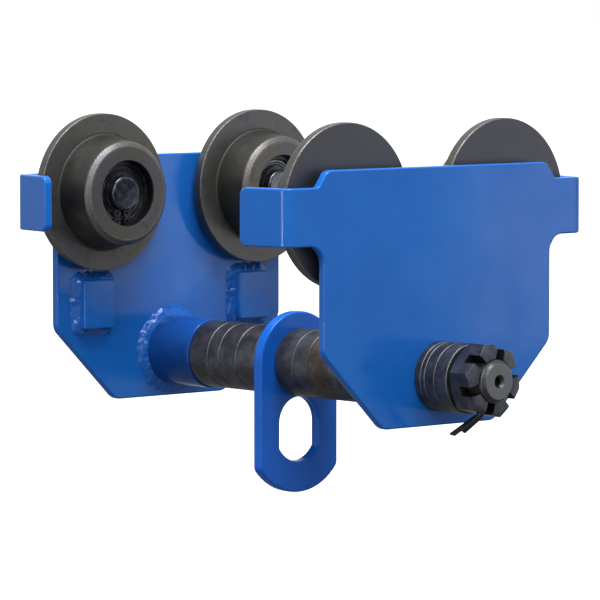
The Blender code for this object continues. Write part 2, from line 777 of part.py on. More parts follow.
def nut_bore():
    """The bore through a nut, well past both faces."""
    radius = SHAFT_RADIUS + FIT
    profile = [
        (0, 2 * NUT_HEIGHT),
        (radius, 2 * NUT_HEIGHT),
        (radius, -NUT_HEIGHT),
        (0, -NUT_HEIGHT),
    ]
    bore = turned("nut_bore", profile, SHAFT_FACETS, closed=False, collection=CUTTERS)
    as_cutter(bore)
    return bore


def nut_slot(number):
    """A bar across the nut that mills two opposite slots."""
    mesh = bpy.data.meshes.new("nut_slot")
    bm = bmesh.new()
    bmesh.ops.create_cube(bm, size=1)
    for vert in bm.verts:
        vert.co.x *= 2 * NUT_ACROSS_FLATS
        vert.co.y *= SLOT_WIDTH
        vert.co.z = NUT_HEIGHT + SLOT_DEPTH * (1 if vert.co.z > 0 else -1)
    bm.to_mesh(mesh)
    bm.free()
    slot = new_object(f"nut_slot_{number}", mesh, CUTTERS)
    slot.rotation_euler = (0, 0, number * math.pi / 3)
    as_cutter(slot)
    return slot


def nut_mesh():
    """A castle nut along Z with a slot in the middle of each flat, one slot at +X."""
    mesh = bpy.data.meshes.new("nut_hexagon")
    bm = bmesh.new()
    bmesh.ops.create_cone(
        bm,
        cap_ends=True,
        segments=6,
        radius1=NUT_ACROSS_FLATS / math.sqrt(3),
        radius2=NUT_ACROSS_FLATS / math.sqrt(3),
        depth=NUT_HEIGHT,
    )
    bmesh.ops.translate(bm, verts=bm.verts, vec=(0, 0, NUT_HEIGHT / 2))
    bm.to_mesh(mesh)
    bm.free()
    hexagon = new_object("nut_hexagon", mesh, CUTTERS)
    as_cutter(hexagon)
    cut(hexagon, nut_blank(), "INTERSECT")
    cut(hexagon, nut_bore())
    for number in range(3):
        cut(hexagon, nut_slot(number))
    graph = bpy.context.evaluated_depsgraph_get()
    return bpy.data.meshes.new_from_object(hexagon.evaluated_get(graph))


def castle_nut(side, mesh):
    own = mesh.copy()
    own.transform(Matrix.Rotation(math.pi / 2 + side * PIN_ANGLES[side], 4, "Z"))
    nut = new_object(SIDE_NAMES[side] + "_castle_nut", own)
    face_along_x(nut, side, LEFT_NUT_X if side == LEFT else RIGHT_NUT_X, 0, SHAFT_Z)
    paint(nut, BLACK_OXIDE, OXIDE_ROUGHNESS, STEEL_METALLIC)


def split_pin(side):
    """One wire bent back on itself: an eye, two legs through the shaft, both bent over."""
    leg_x = PIN_WIRE_RADIUS + PIN_LEG_GAP / 2
    neck_z = SHAFT_RADIUS + PIN_NECK
    opening = math.asin(leg_x / PIN_EYE_RADIUS)
    eye_z = neck_z + PIN_EYE_RADIUS * math.cos(opening)
    down = -math.pi / 2
    eye_end = down + opening - math.tau
    eye = arc((0, eye_z), PIN_EYE_RADIUS, down - opening, eye_end, PIN_EYE_STEP)
    bend_z = -(NUT_ACROSS_FLATS / 2 + PIN_WIRE_RADIUS / 2)
    bend_x = -leg_x - PIN_BEND_RADIUS

    def leg(start_x, bend, length):
        radius = start_x - bend_x
        points = arc((bend_x, bend_z), radius, 0, -bend, PIN_BEND_STEP)
        end_x, end_z = points[-1]
        tip = (end_x - length * math.sin(bend), end_z - length * math.cos(bend))
        return points + [tip]

    inner_bend, outer_bend = PIN_BENDS[side]
    inner_leg = leg(-leg_x, inner_bend, PIN_INNER_LEG)
    outer_leg = leg(leg_x, outer_bend, PIN_OUTER_LEG)
    path = inner_leg[::-1] + eye + outer_leg
    curve = bpy.data.curves.new(SIDE_NAMES[side] + "_split_pin", "CURVE")
    curve.dimensions = "3D"
    curve.bevel_depth = PIN_WIRE_RADIUS
    curve.bevel_resolution = 2
    curve.use_fill_caps = True
    spline = curve.splines.new("POLY")
    spline.points.add(len(path) - 1)
    for point, (x, z) in zip(spline.points, path):
        point.co = (side * x, 0, z, 1)
    pin = new_object(SIDE_NAMES[side] + "_split_pin", curve)
    pin.rotation_euler = (PIN_ANGLES[side] - math.pi / 2, 0, 0)
    pin.location = (pin_x(side), 0, SHAFT_Z)
    paint(pin, BLACK_OXIDE, OXIDE_ROUGHNESS, STEEL_METALLIC)


def build():
    nut = nut_mesh()
    for side in (LEFT, RIGHT):
        side_plate(side)
        boss(side)
        castle_nut(side, nut)
        split_pin(side)
        for end in (FRONT, REAR):
            guide_block(side, end)
            wheel_set(side, end)
    cross_shaft()
    all_spacers()
    load_lug()


build()
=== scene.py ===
import math

import bmesh
import bpy
from mathutils import Matrix, Vector


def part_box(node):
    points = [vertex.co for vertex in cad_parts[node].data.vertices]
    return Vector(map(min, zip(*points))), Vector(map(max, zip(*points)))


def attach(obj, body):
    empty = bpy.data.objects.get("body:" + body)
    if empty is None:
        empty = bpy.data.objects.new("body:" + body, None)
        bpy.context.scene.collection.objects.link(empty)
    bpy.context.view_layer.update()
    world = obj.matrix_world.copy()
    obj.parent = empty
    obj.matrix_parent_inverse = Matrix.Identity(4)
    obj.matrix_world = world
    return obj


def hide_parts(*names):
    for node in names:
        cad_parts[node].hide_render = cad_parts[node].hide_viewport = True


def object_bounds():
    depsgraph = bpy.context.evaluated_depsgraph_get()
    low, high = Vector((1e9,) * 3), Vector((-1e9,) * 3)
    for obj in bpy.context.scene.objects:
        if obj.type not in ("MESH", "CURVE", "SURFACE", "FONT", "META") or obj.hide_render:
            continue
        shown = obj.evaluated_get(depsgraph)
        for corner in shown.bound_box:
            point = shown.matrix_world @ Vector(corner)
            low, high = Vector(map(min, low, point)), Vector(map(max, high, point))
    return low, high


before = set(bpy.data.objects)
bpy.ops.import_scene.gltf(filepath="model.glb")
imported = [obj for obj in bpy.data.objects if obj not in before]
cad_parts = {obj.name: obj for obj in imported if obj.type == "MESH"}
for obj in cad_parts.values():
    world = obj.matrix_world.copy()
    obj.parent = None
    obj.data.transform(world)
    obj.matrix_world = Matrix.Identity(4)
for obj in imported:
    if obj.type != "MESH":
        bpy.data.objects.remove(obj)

cad_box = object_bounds()

# The photograph's camera: a long lens 2.4 m away, just above the axles and turned
# 41 degrees from the plates' faces, so that the far plate shows past the near one.
camera_aim = Vector((0.05169, -0.04352, -0.02284))
camera_back = Vector((0.7505, -0.6568, 0.0736)).normalized()
camera_distance = 2.3833
camera_data = bpy.data.cameras.new("camera")
camera_data.sensor_width = 36
camera_data.lens = 260.45
camera_data.clip_end = 200


def new_object(name, data):
    obj = bpy.data.objects.new(name, data)
    bpy.context.scene.collection.objects.link(obj)
    return obj


def face(obj, aim, back, distance):
    """Puts a camera or lamp at a distance behind its aim, facing it."""
    obj.location = aim + back * distance
    obj.rotation_euler = back.to_track_quat("Z", "Y").to_euler()


camera = new_object("camera", camera_data)
face(camera, camera_aim, camera_back, camera_distance)
bpy.context.scene.camera = camera
bpy.context.scene.view_settings.view_transform = "Standard"


# The studio: a wide pale floor some way under the hanging trolley, a grey room that is
# lighter above, large soft boxes overhead and over the camera, and small ones beside
# the camera, far off on the left and close by on the right.
class Wire:
    """A value in a node tree. Sums on it add Math nodes, and node() adds any other."""

    def __init__(self, tree, socket=None):
        self.tree, self.socket = tree, socket

    def node(self, kind, settings=None, sockets=None, output=0):
        """Adds a node: its settings first, then the values or links of its sockets."""
        added = self.tree.nodes.new(kind)
        for name, value in (settings or {}).items():
            if name == "stops":
                for element, (place, colour) in zip(added.color_ramp.elements, value):
                    element.position, element.color = place, colour
            else:
                setattr(added, name, value)
        for name, value in (sockets or {}).items():
            if isinstance(value, Wire):
                self.tree.links.new(value.socket, added.inputs[name])
            else:
                added.inputs[name].default_value = value
        return Wire(self.tree, added.outputs[output])

    def calc(self, operation, a, b=0.0):
        return self.node("ShaderNodeMath", {"operation": operation}, {0: a, 1: b})

    def __add__(self, other):
        return self.calc("ADD", self, other)

    def __sub__(self, other):
        return self.calc("SUBTRACT", self, other)

    def __rsub__(self, other):
        return self.calc("SUBTRACT", other, self)

    def __mul__(self, other):
        return self.calc("MULTIPLY", self, other)

    def __truediv__(self, other):
        return self.calc("DIVIDE", self, other)

    def __abs__(self):
        return self.calc("ABSOLUTE", self)

    __radd__, __rmul__ = __add__, __mul__

    def reach(self, other):
        """How far the point (this, other) is from (0, 0)."""
        squares = self * self + other * other
        return self.calc("SQRT", squares)

    def split(self):
        """The X, Y and Z of this vector."""
        separate = self.node("ShaderNodeSeparateXYZ", sockets={0: self}).socket.node
        return [Wire(self.tree, output) for output in separate.outputs]

    def vector(self, x=0.0, y=0.0, z=0.0):
        return self.node("ShaderNodeCombineXYZ", sockets={0: x, 1: y, 2: z})

    def ramp(self, low, high):
        """0 below low and 1 above high, eased in between. High may be the lower one."""
        return self.node(
            "ShaderNodeMapRange",
            {"interpolation_type": "SMOOTHSTEP"},
            {"Value": self, "From Min": low, "From Max": high},
        )

    def band(self, low, high, ease):
        """1 between low and high, and 0 past them."""
        return self.ramp(low - ease, low) * self.ramp(high + ease, high)

    def noise(self, scale, detail=2.0, roughness=0.5):
        """Noise from 0 to 1 along this vector, or along this number."""
        flat = self.socket.type == "VALUE"
        return self.node(
            "ShaderNodeTexNoise",
            {"noise_dimensions": "1D" if flat else "3D"},
            {
                "W" if flat else "Vector": self,
                "Scale": scale,
                "Detail": detail,
                "Roughness": roughness,
            },
        )

    def mix(self, off, on):
        """The colour off where this is 0 and on where it is 1."""
        return self.node(
            "ShaderNodeMix", {"data_type": "RGBA"}, {0: self, 6: off, 7: on}, output=2
        )


def rays(wire, *kinds):
    """1 for these kinds of ray and 0 for the others."""
    total = 0.0
    for kind in kinds:
        total = total + wire.node("ShaderNodeLightPath", output=f"Is {kind} Ray")
    return total


def recipe(name, roughness, metallic, specular=0.5, coat=0.0):
    """A new material, its shader and a first wire in its tree."""
    material = bpy.data.materials.new(name)
    material.use_nodes = True
    shader = material.node_tree.nodes["Principled BSDF"]
    shader.inputs["Roughness"].default_value = roughness
    shader.inputs["Metallic"].default_value = metallic
    shader.inputs["Specular IOR Level"].default_value = specular
    shader.inputs["Coat Weight"].default_value = coat
    shader.inputs["Coat Roughness"].default_value = 0.1
    return material, shader, Wire(material.node_tree)


def feed(shader, socket, wire):
    wire.tree.links.new(wire.socket, shader.inputs[socket])


world = bpy.data.worlds.new("studio")
world.use_nodes = True
bpy.context.scene.world = world
room = Wire(world.node_tree)
height = room.node("ShaderNodeTexCoord", output="Generated").split()[2]
room_light = height.ramp(-0.2, 0.9).mix((0.33, 0.32, 0.31, 1), (0.80, 0.86, 0.98, 1))
seen = rays(room, "Camera", "Glossy", "Transmission")
background = room.node(
    "ShaderNodeBackground", sockets={"Color": seen.mix(room_light, (1, 1, 1, 1))}
)
feed(world.node_tree.nodes["World Output"], "Surface", background)

floor_half = 40
floor_drop = 0.32
floor_shade = (0.16, 0.15, 0.14, 1)
floor_pale = (0.8, 0.8, 0.8, 1)
shade_end, pale_start = 0.6, 2.4
mirrored_glow = 0.3


def mesh_from(bm, name):
    """The plain smooth mesh of a bmesh, which goes."""
    mesh = bpy.data.meshes.new(name)
    bm.to_mesh(mesh)
    bm.free()
    mesh.shade_smooth()
    return mesh


bm = bmesh.new()
bmesh.ops.create_grid(bm, x_segments=2, y_segments=2, size=floor_half)
bmesh.ops.translate(bm, verts=bm.verts, vec=(0, 0, cad_box[0][2] - floor_drop))
floor_mesh = mesh_from(bm, "floor")
floor_material, shader, wire = recipe("pale_floor", 0.9, 0.0, specular=0.0)
shader.inputs["Emission Strength"].default_value = 1.0
seen, mirrored = rays(wire, "Camera"), rays(wire, "Glossy", "Transmission")
place = wire.node("ShaderNodeTexCoord", output="Object")
away = place.node(
    "ShaderNodeVectorMath", {"operation": "LENGTH"}, {0: place}, output="Value"
)
# Painted shade: the floor is dark grey to bounce light everywhere, and to reflections near
# the trolley, standing in for the shade under the trolley; further off it shows pale and
# glows white to the camera and in reflections.
far_off = away.ramp(shade_end, pale_start)
glow = (seen + mirrored * mirrored_glow) * far_off
feed(shader, "Base Color", (seen + mirrored * far_off).mix(floor_shade, floor_pale))
feed(shader, "Emission Color", glow.mix((0, 0, 0, 1), floor_pale))
floor_mesh.materials.append(floor_material)
new_object("floor", floor_mesh)


def soft_box(name, direction, distance, width, height, power):
    """A flat lamp that faces the trolley, its width level and its height upright."""
    lamp_data = bpy.data.lights.new(name, "AREA")
    lamp_data.shape = "RECTANGLE"
    lamp_data.size, lamp_data.size_y = width, height
    lamp_data.energy = power
    back = Vector(direction).normalized()
    face(new_object(name, lamp_data), Vector(), back, distance)


soft_box("overhead", (0.3, -0.2, 1.25), 1.3, 0.8, 0.8, 31)
soft_box("over_camera", (0.85, -0.48, 0.55), 2.4, 0.7, 0.7, 11)
soft_box("beside_camera", (0.9, -0.42, 0.34), 2.4, 0.3, 0.5, 4)
soft_box("left_side", (0.16, -0.99, -0.045), 2.2, 0.3, 0.4, 7.5)
soft_box("right_side", (0.706, 0.708, -0.02), 0.72, 0.17, 0.17, 0.18)


# Side plates. Both are cut from 5 mm steel sheet, and an ear at each end is folded
# 81 degrees inwards to guard the wheels. They are enamelled blue, and the enamel
# rounds their edges.
plate_thickness = 0.005
top_half_length = 0.0813
slope_foot_y = 0.0878
side_edge_y = 0.0840
side_edge_drop = 0.0990
bottom_half_length = 0.0412
ear_drop = 0.0090
ear_height = 0.0315
ear_y = 0.1109
ear_fold = math.radians(81)
ear_bend_radius = 0.008
ear_bend_steps = 14
ear_reach = 0.0335
sheet_edge_radius = 0.0011
shaft_radius = 0.012
fit_gap = 0.0003
arc_step = math.radians(6)
plate_low, plate_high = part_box("right_side_plate")
plate_outer_x = plate_high.x
plate_inner_x = plate_outer_x - plate_thickness
plate_top_z, plate_bottom_z = plate_high.z, plate_low.z
shaft_low, shaft_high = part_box("cross_shaft")
shaft_z = (shaft_low.z + shaft_high.z) / 2
sides = (("left", -1), ("right", 1))


def arc(centre, radius, start, end, step=arc_step):
    """Points on an arc, both ends included."""
    count = max(1, math.ceil(abs(end - start) / step - 1e-6))
    angles = [start + (end - start) * i / count for i in range(count + 1)]
    return [
        (centre[0] + radius * math.cos(angle), centre[1] + radius * math.sin(angle))
        for angle in angles
    ]


def rounded(corners, closed=False, step=arc_step):
    """Points along a chain of (a, b, radius) corners, with an arc at each radius."""
    points = []
    for i, (a, b, radius) in enumerate(corners):
        if radius == 0 or (not closed and i in (0, len(corners) - 1)):
            points.append((a, b))
            continue
        before, after = corners[i - 1], corners[(i + 1) % len(corners)]
        into = math.atan2(b - before[1], a - before[0])
        out = math.atan2(after[1] - b, after[0] - a)
        turn = (out - into + math.pi) % math.tau - math.pi
        tangent = radius * math.tan(abs(turn) / 2)
        side = math.copysign(1, turn)
        start = (a - tangent * math.cos(into), b - tangent * math.sin(into))
        centre = (
            start[0] - side * radius * math.sin(into),
            start[1] + side * radius * math.cos(into),
        )
        first = into - side * math.pi / 2
        points += arc(centre, radius, first, first + turn, step)
    return points


def evaluated_mesh(obj, name):
    """The object as a plain mesh with its modifiers applied. The object goes."""
    graph = bpy.context.evaluated_depsgraph_get()
    mesh = bpy.data.meshes.new_from_object(obj.evaluated_get(graph))
    bpy.data.objects.remove(obj)
    mesh.name = name
    return mesh


def add_bevel(obj, width, segments=3, angle=40):
    bevel = obj.modifiers.new("Rounded edges", "BEVEL")
    bevel.width = width
    bevel.segments = segments
    bevel.limit_method = "ANGLE"
    bevel.angle_limit = math.radians(angle)


def shaded(obj, name, sharp=None):
    """The finished mesh of an object, smooth but with its flat faces left flat."""
    if sharp is not None:
        obj.data.set_sharp_from_angle(angle=math.radians(sharp))
    normals = obj.modifiers.new("Flat faces", "WEIGHTED_NORMAL")
    normals.keep_sharp = True
    return evaluated_mesh(obj, name)


def fit(name, mesh, material, body, slot, *nodes):
    """Puts a finished piece on its body, in place of the CAD nodes that it shows."""
    mesh.materials.clear()
    mesh.materials.append(material)
    piece = new_object(name, mesh)
    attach(piece, body)
    if nodes:
        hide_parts(*nodes)


def half_sheet(outline, normal_x):
    """One flat face from half an outline that is open at y = 0."""
    bm = bmesh.new()
    face = bm.faces.new([bm.verts.new((0, y, z)) for y, z in outline])
    face.normal_update()
    if face.normal.x * normal_x < 0:
        bmesh.ops.reverse_faces(bm, faces=[face])
    return bm


def sheet_object(name, bm, thickness, offset, edge_radius):
    """Mirrors a half sheet about y = 0, thickens it and rounds its edges."""
    obj = new_object(name, mesh_from(bm, name))
    mirror = obj.modifiers.new("Other half", "MIRROR")
    mirror.use_axis = (False, True, False)
    mirror.merge_threshold = 0.00001
    solidify = obj.modifiers.new("Sheet", "SOLIDIFY")
    solidify.thickness = thickness
    solidify.offset = offset
    solidify.use_even_offset = True
    add_bevel(obj, edge_radius)
    return obj


def plate_outline():
    """Half of the flat blank of a side plate, its ear still unfolded."""
    ear_top = plate_top_z - ear_drop
    ear_bottom = ear_top - ear_height
    bend_y = ear_y - ear_bend_radius
    flat = (ear_reach - ear_bend_radius * (1 - math.cos(ear_fold))) / math.sin(ear_fold)
    tip = bend_y + ear_bend_radius * ear_fold + flat
    edge = [
        (0, plate_top_z, 0),
        (top_half_length, plate_top_z, 0.006),
        (slope_foot_y, ear_top, 0.0025),
        (tip, ear_top, 0.0045),
        (tip, ear_bottom, 0.0045),
        (side_edge_y, ear_bottom, 0.0095),
        (side_edge_y, plate_top_z - side_edge_drop, 0.009),
        (bottom_half_length, plate_bottom_z, 0.009),
        (0, plate_bottom_z, 0),
    ]
    hole = arc((0, shaft_z), shaft_radius + fit_gap, -math.pi / 2, math.pi / 2)
    return rounded(edge) + hole


def fold_ear(bm, outward):
    """Creases the blank at the bend and rolls the ear round it, towards the wheels."""
    bend_y = ear_y - ear_bend_radius
    bend_length = ear_bend_radius * ear_fold
    for i in range(ear_bend_steps + 1):
        bmesh.ops.bisect_plane(
            bm,
            geom=bm.verts[:] + bm.edges[:] + bm.faces[:],
            plane_co=(0, bend_y + bend_length * i / ear_bend_steps, 0),
            plane_no=(0, 1, 0),
        )
    for vert in bm.verts:
        past = vert.co.y - bend_y
        if past <= 0:
            continue
        angle = min(past, bend_length) / ear_bend_radius
        straight = max(0, past - bend_length)
        inward = ear_bend_radius * (1 - math.cos(angle)) + straight * math.sin(angle)
        along = ear_bend_radius * math.sin(angle) + straight * math.cos(angle)
        vert.co.x = -outward * inward
        vert.co.y = bend_y + along


def feed_bump(shader, wire, depth, strength=1.0):
    """Bumps the surface by depth metres where the wire goes from 0 to 1."""
    bump = wire.node(
        "ShaderNodeBump",
        sockets={"Height": wire, "Distance": depth, "Strength": strength},
    )
    feed(shader, "Normal", bump)


def enamel(name, colour, deep, roughness, specular, lumps=1.0):
    """Blue enamel, brushed or sprayed on: uneven in tone, with a slight orange peel."""
    material, shader, wire = recipe(name, roughness, 0.0, specular=specular)
    place = wire.node("ShaderNodeTexCoord", output="Object")
    cloud = place.noise(14, 3, 0.55)
    fine = place.noise(160, 3, 0.6)
    tone = cloud.ramp(0.35, 0.72) * 0.75 + fine.ramp(0.4, 0.8) * 0.25
    feed(shader, "Base Color", tone.mix(deep, colour))
    haze = place.noise(45, 2).ramp(0.3, 0.8)
    feed(shader, "Roughness", haze * 0.12 + (roughness - 0.05))
    peel = place.noise(520, 1, 0.4) * 0.6 + place.noise(26, 1, 0.4) * 5 * lumps
    feed_bump(shader, peel, 0.00005)
    return material


sheet_enamel = enamel(
    "blue_sheet_enamel", (0.010, 0.120, 0.445, 1), (0.008, 0.100, 0.39, 1), 0.17, 0.2
)
for side, outward in sides:
    name = side + "_plate_sheet"
    blank = half_sheet(plate_outline(), outward)
    fold_ear(blank, outward)
    plate = sheet_object(name, blank, plate_thickness, -1, sheet_edge_radius)
    plate_mesh = shaded(plate, name)
    plate_mesh.transform(Matrix.Translation((outward * plate_outer_x, 0, 0)))
    fit(name, plate_mesh, sheet_enamel, "frame", "blue_paint", side + "_side_plate")


# Bosses. A thick tube round the shaft on the inner face of each plate, 39 mm long,
# welded on all round its foot and enamelled with the plate in a darker blue.
boss_radius = 0.020
shaft_steps = 96
boss_edge_radius = 0.0011
boss_enamel = enamel(
    "blue_boss_enamel", (0.007, 0.070, 0.30, 1), (0.006, 0.042, 0.19, 1), 0.17, 0.1
)


def turned_mesh(name, profile, face_x, direction, y, z, closed=True, steps=shaft_steps):
    """Turns (station, radius) points round an axis along X, from face_x onwards."""
    bm = bmesh.new()
    verts = [bm.verts.new((face_x + direction * s, 0, r)) for s, r in profile]
    pairs = list(zip(verts, verts[1:])) + ([(verts[-1], verts[0])] if closed else [])
    edges = [bm.edges.new(pair) for pair in pairs]
    bmesh.ops.spin(
        bm,
        geom=verts + edges,
        cent=(0, 0, 0),
        axis=(1, 0, 0),
        angle=math.tau,
        steps=steps,
        use_merge=True,
    )
    bmesh.ops.remove_doubles(bm, verts=bm.verts, dist=1e-7)
    bmesh.ops.recalc_face_normals(bm, faces=bm.faces)
    bmesh.ops.translate(bm, verts=bm.verts, vec=(0, y, z))
    return shaded(new_object(name, mesh_from(bm, name)), name, sharp=32)


for side, outward in sides:
    low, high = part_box(side + "_boss")
    length = high.x - low.x
    tube = rounded(
        [
            (0, boss_radius, 0),
            (length, boss_radius, boss_edge_radius),
            (length, shaft_radius + fit_gap, 0.0006),
            (0, shaft_radius + fit_gap, 0),
        ],
        closed=True,
        step=math.radians(18),
    )
    name = side + "_boss_tube"
    mesh = turned_mesh(name, tube, outward * plate_inner_x, -outward, 0, shaft_z)
    fit(name, mesh, boss_enamel, "frame", "blue_paint", side + "_boss")


# Guide blocks. A short flat bar under each wheel, welded on all round to the inner
# face of its plate, to keep the edge of the beam's flange off the plate. Enamelled
# with the plate.
block_length = 0.022
block_height = 0.028
block_depth = 0.007
block_edge_radius = 0.0011
ends = [
    (f"{side}_{end}", outward, along)
    for side, outward in sides
    for end, along in (("front", -1), ("rear", 1))
]


def box_mesh(name, size, centre):
    bm = bmesh.new()
    bmesh.ops.create_cube(bm, size=1)
    bmesh.ops.scale(bm, vec=size, verts=bm.verts)
    bmesh.ops.translate(bm, vec=centre, verts=bm.verts)
    return mesh_from(bm, name)


for end, outward, along in ends:
    node = end + "_guide_block"
    low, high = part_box(node)
    centre = (low + high) / 2
    centre.x = outward * (plate_inner_x - block_depth / 2)
    block = new_object(
        node, box_mesh(node, (block_depth, block_length, block_height), centre)
    )
    add_bevel(block, block_edge_radius)
    name = end + "_guide_bar"
    fit(name, shaded(block, name), sheet_enamel, "frame", "blue_paint", node)


# Weld beads. Hand-laid fillets round the feet of the bosses, guide blocks and stub
# axles, lumpy and rippled, with the enamel run smooth and glossy over them.
class Grower:
    """A geometry node tree that is put together step by step."""

    def __init__(self, name, *sizes):
        self.tree = bpy.data.node_groups.new(name, "GeometryNodeTree")
        self.sizes = sizes
        new_socket = self.tree.interface.new_socket
        for way in ("INPUT", "OUTPUT"):
            new_socket("Geometry", in_out=way, socket_type="NodeSocketGeometry")
        for size in sizes:
            new_socket(size, in_out="INPUT", socket_type="NodeSocketFloat")
        new_socket("Material", in_out="INPUT", socket_type="NodeSocketMaterial")
        self.inputs = self.tree.nodes.new("NodeGroupInput")

    def given(self, label):
        return Wire(self.tree, self.inputs.outputs[label])

    def given_sizes(self):
        return [self.given(size) for size in self.sizes]

    def finish(self, geometry):
        """Ends the tree with real, smooth and painted geometry."""
        real = geometry.node("GeometryNodeRealizeInstances", sockets={0: geometry})
        smooth = real.node("GeometryNodeSetShadeSmooth", sockets={"Geometry": real})
        painted = smooth.node(
            "GeometryNodeSetMaterial",
            sockets={"Geometry": smooth, "Material": self.given("Material")},
        )
        output = self.tree.nodes.new("NodeGroupOutput")
        self.tree.links.new(painted.socket, output.inputs[0])

    def grow(self, name, values, data=None):
        """The mesh that the tree makes with these values, from a curve if given."""
        obj = new_object(name, data or bpy.data.meshes.new(name))
        modifier = obj.modifiers.new(name, "NODES")
        modifier.node_group = self.tree
        for item in self.tree.interface.items_tree:
            if item.in_out == "INPUT" and item.name in values:
                modifier[item.identifier] = values[item.name]
        return evaluated_mesh(obj, name)


def turned_out(mesh):
    """Turns every face of a closed mesh outwards."""
    bm = bmesh.new()
    bm.from_mesh(mesh)
    bmesh.ops.recalc_face_normals(bm, faces=bm.faces)
    bm.to_mesh(mesh)
    bm.free()


beads = Grower(
    "weld_bead",
    "Leg",
    "Ripple Spacing",
    "Ripple Height",
    "Lump Height",
    "Lump Scale",
    "Seed",
)
leg, ripple_spacing, ripple_height, lump_height, lump_scale, seed = beads.given_sizes()
path = leg.node(
    "GeometryNodeResampleCurve",
    {"mode": "LENGTH"},
    {"Curve": beads.given("Geometry"), "Length": 0.0005},
)
capture = path.tree.nodes.new("GeometryNodeCaptureAttribute")
capture.capture_items.new("FLOAT", "Length")
along = path.node("GeometryNodeSplineParameter", output="Length")
path.tree.links.new(path.socket, capture.inputs["Geometry"])
path.tree.links.new(along.socket, capture.inputs["Length"])
path, along = (Wire(path.tree, output) for output in list(capture.outputs)[:2])
sunk = 0.0010
foot, belly = leg * 1.1, leg * 0.56
fillet = path.node(
    "GeometryNodeCurveArc",
    {"mode": "POINTS"},
    {
        "Resolution": 14,
        "Start": path.vector(-sunk, foot * -1),
        "Middle": path.vector(belly, belly * -1),
        "End": path.vector(foot, sunk),
    },
)
bead = path.node(
    "GeometryNodeCurveToMesh", sockets={"Curve": path, "Profile Curve": fillet}
)
where = bead.node("GeometryNodeInputPosition")
shifted = where.node(
    "ShaderNodeVectorMath", {"operation": "ADD"}, {0: where, 1: seed.vector(seed)}
)
wander = shifted.noise(220.0, 1.0)
lump = shifted.noise(lump_scale, 1.5)
phase = (along + wander * 0.004) * math.pi / ripple_spacing
ripple = abs(phase.calc("SINE", phase)) * ripple_height
raised = ripple + (lump - 0.55) * lump_height
push = where.node(
    "ShaderNodeVectorMath",
    {"operation": "SCALE"},
    {0: where.node("GeometryNodeInputNormal"), "Scale": raised},
)
beads.finish(
    bead.node("GeometryNodeSetPosition", sockets={"Geometry": bead, "Offset": push})
)

bead_enamel = enamel(
    "blue_weld_enamel",
    (0.010, 0.118, 0.44, 1),
    (0.007, 0.085, 0.36, 1),
    0.10,
    0.28,
    lumps=0.5,
)
bead_flatness = 0.62
bead_lift = 0.0002
bead_overlap = 0.0004
boss_weld_leg = 0.0060
guide_weld_leg = 0.0054


def closed_curve(name, dimensions, *loops):
    """Closed straight-sided loops in the XY plane."""
    curve = bpy.data.curves.new(name, "CURVE")
    curve.dimensions = dimensions
    for points in loops:
        spline = curve.splines.new("POLY")
        spline.points.add(len(points) - 1)
        for point, (x, y) in zip(spline.points, points):
            point.co = (x, y, 0, 1)
        spline.use_cyclic_u = True
    return curve


def weld(name, points, leg, seed, outward, y, z):
    """Lays a bead outside a path round (y, z) on the inner face of a plate."""
    curve = closed_curve(name, "3D", points)
    curve.twist_mode = "Z_UP"
    sizes = {
        "Leg": leg,
        "Ripple Spacing": 0.0042,
        "Ripple Height": 0.00022,
        "Lump Height": 0.0034,
        "Lump Scale": 210.0,
        "Seed": seed,
        "Material": bead_enamel,
    }
    mesh = beads.grow(name, sizes, curve)
    stand = Matrix.Rotation(-outward * math.pi / 2, 4, "Y")
    flatten = Matrix.Scale(bead_flatness, 4, (1, 0, 0))
    face_x = outward * (plate_inner_x + bead_lift)
    mesh.transform(Matrix.Translation((face_x, y, z)) @ flatten @ stand)
    turned_out(mesh)
    fit(name, mesh, bead_enamel, "frame", "blue_paint")


boss_foot = arc((0, 0), boss_radius - bead_overlap, 0, math.tau)[:-1]
for number, (side, outward) in enumerate(sides):
    seed = number * 0.31
    weld(side + "_boss_weld", boss_foot, boss_weld_leg, seed, outward, 0, shaft_z)
half_z, half_y = block_height / 2 - bead_overlap, block_length / 2 - bead_overlap
block_foot = rounded(
    [
        (-half_z, -half_y, 0.0015),
        (half_z, -half_y, 0.0015),
        (half_z, half_y, 0.0015),
        (-half_z, half_y, 0.0015),
    ],
    closed=True,
    step=math.radians(30),
)
for number, (end, outward, along) in enumerate(ends):
    low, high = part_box(end + "_guide_block")
    y, z = (low.y + high.y) / 2, (low.z + high.z) / 2
    seed = 2.0 + number * 0.47
    weld(end + "_guide_weld", block_foot, guide_weld_leg, seed, outward, y, z)


# Wheels. Turned steel, with a coned tread for the beam's flange, a guide flange behind
# it and a bore for the bearing. Dark and oily, darkest on the treads, and worn bright
# along the rims, where painted highlights are added too. Painted shade darkens the
# crease at the tread's root and the bore in front of the bearing, and the flange's back
# is painted darker and bluer as shade and reflection.
axle_y, axle_z = 0.0584, 0.03135
flange_radius = 0.045
flange_back = 0.0050
flange_front = 0.0110
wheel_end = 0.0330
tread_root_radius = 0.0327
tread_end_radius = 0.0296
bearing_radius = 0.0185
bearing_back = 0.0168
bearing_front = 0.0258
hub_back_radius = 0.014
groove_depth = 0.001
groove_width = 0.0021
bearing_seat = bearing_back - 0.0003
wheel_steps = 144

wheel_profile = rounded(
    [
        (wheel_end, tread_end_radius - 0.0026, 0.0016),
        (wheel_end - 0.0022, tread_end_radius, 0.0018),
        (flange_front, tread_root_radius, 0.0012),
        (flange_front, flange_radius, 0.0006),
        (flange_back, flange_radius, 0.0009),
        (flange_back, hub_back_radius, 0.0004),
        (bearing_seat, hub_back_radius, 0),
        (bearing_seat, bearing_radius, 0),
        (bearing_front, bearing_radius, 0),
        (bearing_front, bearing_radius + groove_depth, 0),
        (bearing_front + groove_width, bearing_radius + groove_depth, 0),
        (bearing_front + groove_width, bearing_radius, 0),
        (wheel_end, bearing_radius, 0.0007),
    ],
    closed=True,
    step=math.radians(15),
)


